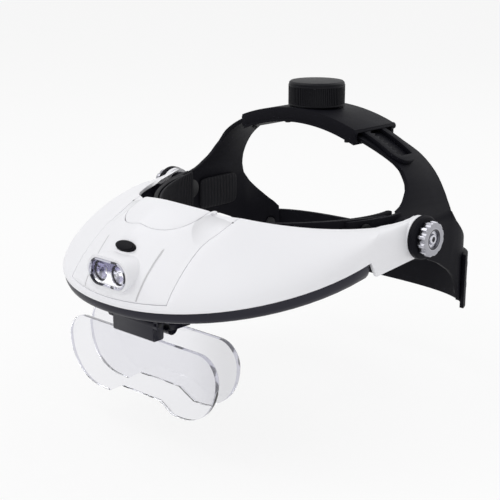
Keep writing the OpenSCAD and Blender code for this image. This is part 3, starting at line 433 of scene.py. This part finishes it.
@dataclass(frozen=True)
class Turned(Plated):
    """Plated disc on the visor's axis, with fine turned rings, painted shade in a groove ring and in the
    centre socket, and a grey land.

    Radii and widths are in metres.
    """

    groove: float = 0.0049
    groove_w: float = 0.0004
    land: float = 0.0071
    land_w: float = 0.0017
    socket: float = 0.0014
    soft: float = 0.0002
    turns: float = 26000.0

    def paint(self, name: str) -> bpy.types.Material:
        """The material.

        Args:
            name: the material's name.

        Returns:
            The material.
        """
        t = Tree(name)
        y, z = t.along("Y"), t.along("Z")
        radius = (y * y + z * z).root()
        rings = (radius * self.turns).sine()
        groove = (radius - self.groove).size().under(self.groove_w, self.soft)
        # Painted shade: the groove ring and the socket at the centre are darkened.
        dark = groove.most(radius.under(self.socket, self.soft))
        inner = (radius - self.land).size().under(self.land_w, 0.0003) * 0.5
        fine = t.noise(self.brush_scale, 4.0)
        t.set(
            Base_Color=t.mix(dark.most(inner), rgba(self.colour), shade(self.colour, 0.1)),
            Metallic=1.0,
            Roughness=self.rough + (fine - 0.5) * self.uneven,
            Normal=t.bump(rings * 0.5 + fine, self.depth),
        )
        return t.material


@dataclass(frozen=True)
class Cup(Plated):
    """Vacuum-plated bowl with a painted dark reflection over its upper half, a painted glow on its bright
    lower half, and painted shade along a dark lip.

    Places and widths are in metres.
    """

    # Colours of the painted dark reflection and of the painted glow; the lamp is not lit.
    reflected_dark_colour: tuple = (0.22, 0.21, 0.33)
    glow: tuple = (0.22, 0.22, 0.24)
    turn: float = -0.0092
    turn_soft: float = 0.0012
    slant: float = 0.25
    ragged: float = 0.0016
    cup_x: float = 0.0063
    lip_r: float = 0.0047
    lip_w: float = 0.00028

    def paint(self, name: str) -> bpy.types.Material:
        """The material.

        Args:
            name: the material's name.

        Returns:
            The material.
        """
        t = Tree(name)
        x, z = t.along("X"), t.along("Z")
        wave = t.noise(420.0, 2.0)
        across = x.size() - self.cup_x
        height = z - self.turn
        radius = (across * across + height * height).root()
        # Painted shade: a dark ring at the cup's lip.
        lip = (radius - self.lip_r).size().under(self.lip_w, 0.00015)
        # Painted reflection: the half above a ragged slanting line is dark, and the half below glows
        # faintly.
        line = z * -1.0 + x * self.slant + (wave - 0.5) * self.ragged
        reflected_dark_half = line.under(-self.turn - 0.0002, self.turn_soft)
        tone = t.mix(reflected_dark_half, rgba(self.colour), rgba(self.reflected_dark_colour))
        t.set(
            Base_Color=t.mix(lip, tone, shade(self.reflected_dark_colour, 0.1)),
            Metallic=1.0,
            Emission_Color=t.mix(reflected_dark_half.most(lip), rgba(self.glow), (0.0, 0.0, 0.0, 1.0)),
            Emission_Strength=1.0,
            Roughness=self.rough + (wave - 0.5) * 0.1,
        )
        return t.material


@dataclass(frozen=True)
class Clear:
    """Clear acrylic or glass, with painted shade on its rim, broken by painted dark reflections, and painted
    shade on the wearer's left end of the rear plate.

    Places are in metres, and scales in cells per metre.
    """

    colour: tuple
    rim: tuple
    rough: float = 0.02
    index: float = 1.49
    coat: float = 0.0
    rear: float = 0.104
    grey_x: float = 0.03
    grey_soft: float = 0.016
    grey_tone: float = 0.84
    reflection_dash_scale: float = 75.0
    reflection_dash_tone: float = 0.12

    def paint(self, name: str) -> bpy.types.Material:
        """The material.

        Args:
            name: the material's name.

        Returns:
            The material.
        """
        t = Tree(name)
        haze = t.noise(60.0, 3.0)
        normal = t.node("ShaderNodeNewGeometry", {}, {}, "Normal")
        facing = t.node("ShaderNodeSeparateXYZ", {}, {0: normal}, "Y").size()
        body = t.mix(haze, shade(self.colour, 0.97), rgba(self.colour))
        # Painted shade: the rear plate's end on the wearer's left is greyer.
        left = (t.along("X") * -1.0).under(-self.grey_x, self.grey_soft)
        painted_end_shade = left * (t.along("Y") * -1.0).under(self.rear, 0.001)
        body = t.mix(painted_end_shade, body, shade(self.colour, self.grey_tone))
        # The rim's grey is painted shade, and these random dark dashes along it are painted reflections.
        reflection_dashes = t.noise(self.reflection_dash_scale, 1.0).under(0.42, 0.02)
        side = t.mix(reflection_dashes, rgba(self.rim), shade(self.rim, self.reflection_dash_tone))
        t.set(
            Base_Color=t.mix(facing.under(0.6, 0.3), body, side),
            Roughness=self.rough + haze.under(0.4, 0.2) * 0.02,
            Transmission_Weight=1.0,
            IOR=self.index,
            Coat_Weight=self.coat,
            Coat_Roughness=0.03,
        )
        return t.material


FINISHES: dict[Look, Moulded | Plated | Clear] = {
    Look.WHITE: WhiteCover(
        (0.88, 0.88, 0.91), rough=0.46, grain=1800.0, depth=0.00035, tone=0.02, coat=0.12
    ),
    Look.BLACK: Moulded(
        (0.0058, 0.0057, 0.0085), rough=0.55, grain=2200.0, depth=0.00003, tone=0.14, gloss=0.07
    ),
    Look.RIVET: Moulded((0.009, 0.009, 0.011), rough=0.4, grain=3000.0, gloss=0.3),
    Look.PAD: Moulded(
        (0.0085, 0.0085, 0.011), rough=0.66, grain=1500.0, depth=0.00006, tone=0.2, gloss=0.15
    ),
    Look.KNOB: Moulded((0.006, 0.006, 0.0085), rough=0.5, grain=2400.0, depth=0.00003, gloss=0.14),
    Look.SWITCH: Moulded((0.004, 0.004, 0.006), rough=0.42, grain=3000.0, gloss=0.08),
    Look.CHARCOAL: Moulded(
        (0.0125, 0.012, 0.022), rough=0.36, grain=2400.0, tone=0.1, coat=0.06, gloss=0.25
    ),
    Look.SILVER: Plated((0.62, 0.62, 0.7), rough=0.24, dark_reflection_amount=0.9),
    Look.DISC: Turned((0.66, 0.66, 0.72), rough=0.24),
    Look.STEEL: Plated((0.4, 0.4, 0.43), rough=0.3, brush=(1.0, 1.0, 6.0)),
    Look.MIRROR: Cup((1.0, 1.0, 1.0), rough=0.12),
    Look.WINDOW: Clear((0.99, 0.99, 1.0), rim=(0.9, 0.9, 0.94), index=1.2),
    Look.LED: Moulded((0.9, 0.88, 0.7), rough=0.16, grain=3000.0, tone=0.04, coat=0.6),
    Look.BOARD: Moulded((0.05, 0.2, 0.12), rough=0.3, grain=900.0, tone=0.2),
    Look.CELL: Moulded((0.42, 0.28, 0.07), rough=0.28, grain=900.0, tone=0.08, coat=0.4),
    Look.LENS: Clear((0.9, 0.9, 0.925), rim=(0.46, 0.46, 0.56), rough=0.01, index=1.14, coat=1.0),
}


class Paints:
    """Makes each finish's material once."""

    def __init__(self) -> None:
        """Starts with no materials."""
        self.made: dict[Look, bpy.types.Material] = {}

    def dress(self, piece: bpy.types.Object, look: Look) -> bpy.types.Object:
        """Gives a piece one finish.

        Args:
            piece: the object.
            look: its finish.

        Returns:
            The object.
        """
        if look not in self.made:
            self.made[look] = FINISHES[look].paint(f"finish_{look.value}")
        if not piece.data.materials:
            piece.data.materials.append(self.made[look])
        for i in range(len(piece.data.materials)):
            piece.data.materials[i] = self.made[look]
        return piece


PAINTS = Paints()
BODY_OF: dict[str, str] = {
    node: body for body, nodes in frame["record"]["behaviour"]["bodies"].items() for node in nodes
}


class Bench:
    """Modelling moves that every sub-assembly shares.

    Points of a CAD copy closer than merge, in metres, are joined, and so are faces flatter than flat.
    """

    merge: float = 0.000004
    flat: float = math.radians(0.05)

    @staticmethod
    def start(name: str, add: Callable[..., object], **sizes: object) -> bpy.types.Object:
        """Adds a primitive, a light or a camera, with nothing else selected.

        Args:
            name: the object's name.
            add: the operator that adds it.
            sizes: its sizes and its place.

        Returns:
            The object.
        """
        bpy.ops.object.select_all(action="DESELECT")
        add(**sizes)
        made = bpy.context.active_object
        made.name = name
        return made

    @staticmethod
    def pick(piece: bpy.types.Object) -> None:
        """Selects one object only and makes it active.

        Args:
            piece: the object.
        """
        bpy.ops.object.select_all(action="DESELECT")
        piece.select_set(True)
        bpy.context.view_layer.objects.active = piece

    @staticmethod
    def cut(place: tuple, **side: bool) -> None:
        """Cuts the mesh in edit mode along a level plane, and clears a side where one is named."""
        bpy.ops.mesh.select_all(action="SELECT")
        bpy.ops.mesh.bisect(plane_co=place, plane_no=(0, 0, 1), **side)

    @staticmethod
    def finish(piece: bpy.types.Object, body: str, look: Look) -> bpy.types.Object:
        """Places, dresses and mounts a finished piece.

        Args:
            piece: the object.
            body: the CAD body it rides on.
            look: its finish.

        Returns:
            The object.
        """
        Bench.pick(piece)
        bpy.ops.object.transform_apply(location=True, rotation=True, scale=True)
        PAINTS.dress(piece, look)
        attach(piece, body)
        LOG.info("%s rides on %s as %s", piece.name, body, look.value)
        return piece

    @staticmethod
    def modify(piece: bpy.types.Object, kind: str, **settings: object) -> None:
        """Adds a modifier and applies it.

        Args:
            piece: the object.
            kind: the modifier's type.
            settings: its settings, in order.
        """
        Bench.pick(piece)
        mod = piece.modifiers.new(kind.lower(), kind)
        for key, value in settings.items():
            setattr(mod, key, value)
        bpy.ops.object.modifier_apply(modifier=mod.name)

    @staticmethod
    def bevel(piece: bpy.types.Object, width: float, degrees: float = 38.0) -> None:
        """Rounds the edges that are sharper than an angle, width in millimetres."""
        limit = math.radians(degrees)
        Bench.modify(piece, "BEVEL", width=width * MM, segments=2, limit_method="ANGLE", angle_limit=limit)

    @staticmethod
    def smooth(piece: bpy.types.Object, degrees: float) -> None:
        """Smooths the shading of edges flatter than an angle."""
        Bench.pick(piece)
        bpy.ops.object.shade_smooth_by_angle(angle=math.radians(degrees))

    @staticmethod
    def from_cad(
        node: str, look: Look, edge: float = 0.25, angle: float = 32.0, plain: bool = False
    ) -> bpy.types.Object:
        """A merged, softened copy that stands for a CAD node.

        Args:
            node: the CAD node.
            look: its finish.
            edge: width of the softened edges in millimetres.
            angle: angle in degrees under which the shading is smooth.
            plain: True where the joined faces may stay whole.

        Returns:
            The new piece.
        """
        source = frame["nodes"][node]
        piece = bpy.data.objects.new(f"{node}_finish", source.data.copy())
        bpy.context.scene.collection.objects.link(piece)
        Bench.pick(piece)
        bpy.ops.object.mode_set(mode="EDIT")
        bpy.ops.mesh.select_all(action="SELECT")
        bpy.ops.mesh.remove_doubles(threshold=Bench.merge)
        bpy.ops.mesh.dissolve_limited(angle_limit=Bench.flat)
        if not plain:
            bpy.ops.mesh.quads_convert_to_tris(quad_method="BEAUTY", ngon_method="BEAUTY")
        bpy.ops.object.mode_set(mode="OBJECT")
        if edge > 0:
            Bench.bevel(piece, edge)
        Bench.smooth(piece, angle)
        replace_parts(piece, node)
        return Bench.finish(piece, BODY_OF[node], look)

    @staticmethod
    def cad_as_is(node: str, look: Look) -> None:
        """Gives a CAD node that stays its finish."""
        PAINTS.dress(frame["nodes"][node], look)
        LOG.info("%s stays with finish %s", node, look.value)

    @staticmethod
    def loft(name: str, rings: list[list[tuple[float, float, float]]]) -> bpy.types.Object:
        """A closed solid from a stack of rings, in millimetres.

        Args:
            name: the object's name.
            rings: rings of as many points each.

        Returns:
            The object.
        """
        cols = len(rings[0])
        points = [tuple(c * MM for c in p) for ring in rings for p in ring]
        faces = [
            (i * cols + j, i * cols + (j + 1) % cols, (i + 1) * cols + (j + 1) % cols, (i + 1) * cols + j)
            for i in range(len(rings) - 1)
            for j in range(cols)
        ]
        faces.append(tuple(range(cols - 1, -1, -1)))
        faces.append(tuple((len(rings) - 1) * cols + j for j in range(cols)))
        mesh = bpy.data.meshes.new(name)
        mesh.from_pydata(points, [], faces)
        piece = bpy.data.objects.new(name, mesh)
        bpy.context.scene.collection.objects.link(piece)
        Bench.pick(piece)
        bpy.ops.object.mode_set(mode="EDIT")
        bpy.ops.mesh.select_all(action="SELECT")
        bpy.ops.mesh.normals_make_consistent(inside=False)
        bpy.ops.object.mode_set(mode="OBJECT")
        return piece


@dataclass
class Visor:
    """White covers, charcoal tray and the small parts on them, in millimetres and degrees."""

    skin_angle: float = 40.0
    latch_at: tuple = (24.6, -80.7, 15.9)
    latch_size: tuple = (1.5, 2.6, 1.1)
    latch_angle: float = 60.0

    def covers(self) -> None:
        """The shell, the console cover and the battery lid."""
        for node in ("visor_shell", "console_cover", "battery_lid"):
            Bench.from_cad(node, Look.WHITE, edge=0.3, angle=self.skin_angle)

    def tray(self) -> None:
        """The under-tray and its screws."""
        Bench.from_cad("under_tray", Look.CHARCOAL, edge=0.3, angle=self.skin_angle)
        Bench.cad_as_is("tray_screws", Look.STEEL)

    def latch(self) -> None:
        """The small thumb latch beside the lid."""
        place = [c * MM for c in self.latch_at]
        piece = Bench.start("lid_latch", bpy.ops.mesh.primitive_cube_add, size=1, location=place)
        piece.scale = [2 * c * MM for c in self.latch_size]
        Bench.modify(piece, "SUBSURF", levels=3, render_levels=3)
        Bench.smooth(piece, self.latch_angle)
        Bench.finish(piece, "visor", Look.WHITE)

    def switch(self) -> None:
        """The oval button and the parts under it."""
        Bench.from_cad("switch_button", Look.SWITCH, edge=0.35)
        Bench.cad_as_is("switch_body", Look.SWITCH)
        for node, look in (
            ("battery_box", Look.CHARCOAL),
            ("battery_cells", Look.CELL),
            ("battery_contacts", Look.STEEL),
        ):
            Bench.cad_as_is(node, look)

    def build(self) -> None:
        """Builds the whole sub-assembly."""
        self.covers()
        self.tray()
        self.latch()
        self.switch()


@dataclass
class Lamp:
    """Oval lamp with two bright cups, in millimetres and degrees.

    The cups are cut from a sphere of radius 1, at its middle and at base.
    """

    cup_x: float = 6.3
    cup_y: float = -126.02
    cup_z: float = -9.2
    cup_r: float = 5.05
    cup_deep: float = 5.6
    facets: int = 24
    rings: int = 20
    base: float = -0.94
    wall: float = 0.12
    shading: float = 14.0

    def cup(self, side: int) -> None:
        """One faceted reflector bowl inside the lamp.

        Args:
            side: 1 for the wearer's left, -1 for the right.
        """
        name = "cup_left" if side > 0 else "cup_right"
        sphere = {"segments": self.facets, "ring_count": self.rings, "radius": 1}
        piece = Bench.start(name, bpy.ops.mesh.primitive_uv_sphere_add, **sphere)
        bpy.ops.object.mode_set(mode="EDIT")
        Bench.cut((0, 0, 0), clear_outer=True)
        Bench.cut((0, 0, self.base), clear_inner=True)
        bpy.ops.object.mode_set(mode="OBJECT")
        piece.scale = (self.cup_r * MM, self.cup_r * MM, self.cup_deep * MM)
        piece.rotation_euler = (math.radians(90), 0, 0)
        piece.location = (side * self.cup_x * MM, self.cup_y * MM, self.cup_z * MM)
        Bench.pick(piece)
        bpy.ops.object.transform_apply(location=True, rotation=True, scale=True)
        Bench.modify(piece, "SOLIDIFY", thickness=self.wall * MM, offset=1.0)
        Bench.smooth(piece, self.shading)
        Bench.finish(piece, "visor", Look.MIRROR)

    def build(self) -> None:
        """Builds the whole sub-assembly."""
        Bench.from_cad("lamp_bezel", Look.SILVER, edge=0.2)
        Bench.from_cad("lamp_reflector", Look.MIRROR, edge=0.12)
        Bench.cad_as_is("lamp_window", Look.WINDOW)
        Bench.from_cad("lamp_leds", Look.LED, edge=0.0)
        Bench.cad_as_is("led_board", Look.BOARD)
        for side in (1, -1):
            self.cup(side)


@dataclass
class Optics:
    """Bracket, flip clip and the two clear plates."""

    plate_edge: float = 0.5

    def build(self) -> None:
        """Builds the whole sub-assembly."""
        for node in ("front_lens", "rear_lens"):
            Bench.from_cad(node, Look.LENS, edge=self.plate_edge, angle=28, plain=True)
        Bench.from_cad("lens_bracket", Look.CHARCOAL, edge=0.35)
        Bench.from_cad("front_clip", Look.CHARCOAL, edge=0.4)
        Bench.from_cad("clip_hinge_pin", Look.RIVET, edge=0.2)
        Bench.cad_as_is("clip_spring", Look.STEEL)


@dataclass
class Harness:
    """Moulded straps, bands, rivets and the crown housing."""

    def build(self) -> None:
        """Builds the whole sub-assembly."""
        for node in ("side_frame_left", "side_frame_right", "forehead_band", "nape_band"):
            Bench.from_cad(node, Look.BLACK, edge=0.45)
        for node in ("ratchet_housing", "ratchet_base", "rack_left", "rack_right"):
            Bench.from_cad(node, Look.BLACK, edge=0.3)
        for node in ("band_rivets", "nape_rivets"):
            Bench.from_cad(node, Look.RIVET, edge=0.3)
        for node in ("ratchet_screws", "pivot_bolts"):
            Bench.from_cad(node, Look.RIVET, edge=0.2)
        for node in ("friction_washers", "pinion_shaft"):
            Bench.cad_as_is(node, Look.STEEL)


@dataclass
class Padding:
    """Ribbed cushions along the forehead band and behind the temples, in millimetres and degrees."""

    half_w: float = 74.5
    front: float = 80.8
    brow_exp: float = 1.6
    back: float = 2.65
    thick: float = 2.6
    low: float = -11.0
    top: float = 9.0
    rise: float = 2.4
    end_angle: float = 88.0
    rib: float = 1.9
    rib_depth: float = 0.7
    rib_steps: int = 4
    groove_curve: float = 1.5
    rise_curve: int = 6
    path_steps: int = 400
    end_len: float = 3.0
    end_puff: float = 0.06
    end_height: float = 0.9
    sections: int = 14
    square: float = 0.5
    temple_y: tuple = (7.0, 38.0)
    temple_z: tuple = (-14.0, 4.6)
    temple_thick: float = 2.5
    temple_sections: int = 16
    temple_square: float = 0.6
    temple_dent: float = 0.55
    temple_curve: tuple = (7, 0.4)
    temple_height: float = 0.62
    temple_crown: float = 0.35
    plate_gap: float = 0.1
    ridges: int = 12
    lean: float = 0.8
    lean_from: float = -2.0
    lean_over: float = 6.6
    lean_curve: float = 1.5
    shading: float = 70.0

    def dent(self, step: int, depth: float) -> float:
        """Depth of the groove between the ribs at a step along the cushion, in millimetres."""
        return depth * (1 - abs(math.sin(math.pi * step / self.rib_steps))) ** self.groove_curve

    def band_point(self, inset: float, angle: float) -> tuple[float, float]:
        """Plan point on the forehead loop.

        Args:
            inset: distance inside the loop, in millimetres.
            angle: signed parameter angle in degrees, 0 at the front.

        Returns:
            x and y in millimetres.
        """
        a = math.radians(abs(angle))
        k = 2 / self.brow_exp
        x = (self.half_w - inset) * max(math.sin(a), 0) ** k
        y = -(self.front - inset) * max(math.cos(a), 0) ** k
        return math.copysign(x, angle), y

    def forehead(self) -> None:
        """The forehead cushion, with fine upright ribs on its inner face."""
        half = self.path_steps
        angles = [-self.end_angle + self.end_angle * i / half for i in range(2 * half + 1)]
        path = [self.band_point(self.back, angle) for angle in angles]
        reach = [0.0]
        for a, b in zip(path, path[1:]):
            reach.append(reach[-1] + math.dist(a, b))
        steps = round(reach[-1] / self.rib) * self.rib_steps
        rings = []
        j = 0
        for i in range(steps + 1):
            want = reach[-1] * i / steps
            while j < len(reach) - 2 and reach[j + 1] < want:
                j += 1
            k = (want - reach[j]) / max(reach[j + 1] - reach[j], 1e-9)
            angle = -self.end_angle + self.end_angle * (j + k) / half
            end = min(1.0, min(want, reach[-1] - want) / self.end_len)
            puff = math.sqrt(max(self.end_puff, 1 - (1 - end) ** 2))
            rings.append(self.section(angle, self.dent(i, self.rib_depth), puff))
        piece = Bench.loft("forehead_cushion", rings)
        Bench.smooth(piece, self.shading)
        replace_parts(piece, "forehead_pad")
        Bench.finish(piece, "harness", Look.PAD)

    def section(self, angle: float, dent: float, puff: float) -> list[tuple[float, float, float]]:
        """One cross-section of the forehead cushion.

        Args:
            angle: parameter angle of the section, in degrees.
            dent: depth of the groove there, in millimetres.
            puff: fullness from 0 to 1.

        Returns:
            The ring of points in millimetres.
        """
        top = self.top + self.rise * (abs(angle) / self.end_angle) ** self.rise_curve
        tall = self.end_height + (1 - self.end_height) * puff
        mid, half = (self.low + top) / 2, (top - self.low) / 2 * tall
        ring = []
        for j in range(self.sections * 2):
            g = 2 * math.pi * (j + 0.5) / (self.sections * 2)
            u, v = math.cos(g), math.sin(g)
            o = math.copysign(abs(u) ** self.square, u)
            z = mid + half * math.copysign(abs(v) ** self.square, v)
            inset = self.back + self.thick / 2 * (1 - o) * puff - (dent * abs(o) if o < 0 else 0)
            x, y = self.band_point(inset, angle)
            ring.append((x, y, z))
        return ring

    def temple(self, side: int) -> bpy.types.Object:
        """One temple cushion with upright ribs.

        Args:
            side: 1 for the wearer's left, -1 for the right.

        Returns:
            The cushion.
        """
        y0, y1 = self.temple_y
        z0, z1 = self.temple_z
        ends, round_off = self.temple_curve
        rows, cols = self.ridges * self.rib_steps, self.temple_sections
        grid = []
        for i in range(rows + 1):
            s = 2 * i / rows - 1
            ring = []
            height = max(1 - abs(s) ** ends, 0.0) ** round_off
            half = (z1 - z0) / 2 * (self.temple_height + (1 - self.temple_height) * height)
            full = self.temple_crown + (1 - self.temple_crown) * height
            dent = self.dent(i, self.temple_dent) if 0 < i < rows else 0.0
            for j in range(2 * cols):
                g = 2 * math.pi * (j + 0.5) / (2 * cols)
                u, v = math.cos(g), math.sin(g)
                z = (z0 + z1) / 2 + half * math.copysign(abs(v) ** self.temple_square, v)
                crown = max(u, 0) ** 0.5 * full
                lean = self.lean * max(0.0, (z - self.lean_from) / self.lean_over) ** self.lean_curve
                thick = self.temple_thick - dent - lean * 0.8
                x = self.half_w - self.plate_gap - lean - crown * thick
                ring.append((side * x, y0 + (y1 - y0) * i / rows, z))
            grid.append(ring)
        piece = Bench.loft("temple_cushion_left" if side > 0 else "temple_cushion_right", grid)
        Bench.smooth(piece, self.shading)
        return Bench.finish(piece, "harness", Look.PAD)

    def build(self) -> None:
        """Builds the whole sub-assembly."""
        self.forehead()
        left = self.temple(1)
        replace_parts(left, "temple_pads")
        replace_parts(self.temple(-1), "temple_pads")


@dataclass
class Knobs:
    """Crown knob with its ribbed skirt, and the two side clamp knobs, in millimetres and degrees."""

    centre: tuple = (0.0, 25.0)
    low: float = 54.4
    skirt_h: float = 11.2
    radius: float = 15.5
    ribs: int = 84
    rib_depth: float = 0.55
    rim: float = 0.9
    edge: float = 0.12
    edge_from: float = 50.0
    shading: float = 30.0

    def skirt(self) -> None:
        """The skirt: upright ribs between two plain rims."""
        x, y = (c * MM for c in self.centre)
        z = (self.low + self.skirt_h / 2) * MM
        piece = Bench.start(
            "crown_knob_skirt",
            bpy.ops.mesh.primitive_cylinder_add,
            vertices=self.ribs * 4,
            radius=self.radius * MM,
            depth=self.skirt_h * MM,
            location=(x, y, z),
        )
        bpy.ops.object.transform_apply(location=True, rotation=True, scale=True)
        bpy.ops.object.mode_set(mode="EDIT")
        for h in (self.rim, self.skirt_h - self.rim):
            Bench.cut((x, y, (self.low + h) * MM))
        bm = bmesh.from_edit_mesh(piece.data)
        for face in bm.faces:
            middle = face.calc_center_median()
            turn = (math.atan2(middle.y - y, middle.x - x) / (2 * math.pi) * self.ribs) % 1.0
            upright = abs(face.normal.z) < 0.1 and abs(middle.z - z) < 0.3 * self.skirt_h * MM
            face.select_set(upright and turn < 0.5)
        bmesh.update_edit_mesh(piece.data)
        bpy.ops.mesh.extrude_region_move()
        k = 1 - self.rib_depth / self.radius
        bpy.ops.transform.resize(value=(k, k, 1), center_override=(x, y, z))
        bpy.ops.object.mode_set(mode="OBJECT")
        Bench.bevel(piece, self.edge, self.edge_from)
        Bench.smooth(piece, self.shading)
        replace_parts(piece, "crown_knob")
        Bench.finish(piece, "crown_knob", Look.KNOB)

    def build(self) -> None:
        """Builds the whole sub-assembly."""
        self.skirt()
        Bench.from_cad("crown_knob_cap", Look.KNOB, edge=0.25)
        Bench.cad_as_is("crown_knob_screw", Look.STEEL)
        for end in ("left", "right"):
            Bench.from_cad(f"side_knob_{end}", Look.DISC, edge=0.3)
            Bench.from_cad(f"knob_screw_{end}", Look.DISC, edge=0.1)
            Bench.from_cad(f"pivot_disc_{end}", Look.BLACK, edge=0.2)


@dataclass
class Studio:
    """Floor, light and camera, in metres and degrees.

    Each lamp has its place, its width and its power in watts.
    """

    floor_z: float = -0.1
    floor_w: float = 60.0
    fleck: float = 0.98
    glow: float = 0.86
    azimuth: float = 42.874
    elevation: float = 15.538
    eye: tuple = (0.40151, -0.46113, 0.14636)
    lens: float = 82.8
    film: float = 36.0
    aim_at: tuple = (0.0, -0.03, 0.0)
    backdrop: float = 0.985
    far_tone: float = 0.965
    sky: float = 0.56
    lamps: dict = field(
        default_factory=lambda: {
            "key": ((-0.45, -0.55, 1.05), 1.2, 7.0),
            "side": ((1.0, -0.6, 0.35), 0.7, 1.4),
            "rear": ((0.3, 0.9, 0.8), 0.8, 3.0),
        }
    )

    def floor(self) -> None:
        """A wide pale floor that keeps the object's shadow."""
        sizes = {"size": self.floor_w, "location": (0, 0, self.floor_z)}
        floor = Bench.start("studio_floor", bpy.ops.mesh.primitive_plane_add, **sizes)
        t = Tree("floor_paper")
        t.tree.nodes.remove(t.shader)
        pale = (self.backdrop,) * 3
        paper = t.mix(t.noise(3.0, 2.0), shade(pale, self.fleck), rgba(pale))
        matt = t.node("ShaderNodeBsdfDiffuse", {}, {"Color": paper})
        glow = t.node("ShaderNodeEmission", {}, {"Color": rgba(pale), "Strength": 1.0})
        both = t.node("ShaderNodeMixShader", {}, {0: t.plain_rays() * self.glow, 1: matt, 2: glow})
        t.feed(t.tree.nodes["Material Output"].inputs["Surface"], both)
        floor.data.materials.append(t.material)

    def light(self) -> None:
        """An even sky and three soft lamps."""
        world = bpy.data.worlds.new("studio_sky")
        bpy.context.scene.world = world
        world.use_nodes = True
        graph = Graph(world.node_tree)
        shader = graph.tree.nodes["Background"]
        graph.feed(shader.inputs["Color"], (1.0, 1.0, 1.0, 1.0))
        far = self.backdrop * self.far_tone
        level = graph.node("ShaderNodeMapRange", {}, {0: graph.plain_rays(), 3: self.sky, 4: far})
        graph.feed(shader.inputs["Strength"], level)
        for name, (place, size, power) in self.lamps.items():
            lamp = Bench.start(f"lamp_{name}", bpy.ops.object.light_add, type="AREA", location=place)
            lamp.data.size = size
            lamp.data.energy = power
            aim = Vector(self.aim_at) - Vector(place)
            lamp.rotation_euler = aim.to_track_quat("-Z", "Y").to_euler()

    def camera(self) -> None:
        """The photograph's viewing angle."""
        turn = (math.radians(90 - self.elevation), 0, math.radians(self.azimuth))
        eye = Bench.start("Camera", bpy.ops.object.camera_add, location=self.eye, rotation=turn)
        eye.data.lens = self.lens
        eye.data.sensor_width = self.film
        eye.data.clip_end = 100
        bpy.context.scene.camera = eye
        bpy.context.scene.view_settings.view_transform = "Standard"

    def build(self) -> None:
        """Builds the whole studio."""
        self.floor()
        self.light()
        self.camera()


def main() -> None:
    """Builds the sub-assemblies in order."""
    logging.basicConfig(level=logging.INFO, format="%(name)s: %(message)s")
    for part in (Visor(), Lamp(), Optics(), Harness(), Padding(), Knobs(), Studio()):
        LOG.info("building %s", type(part).__name__)
        part.build()


if __name__ == "__main__":
    main()
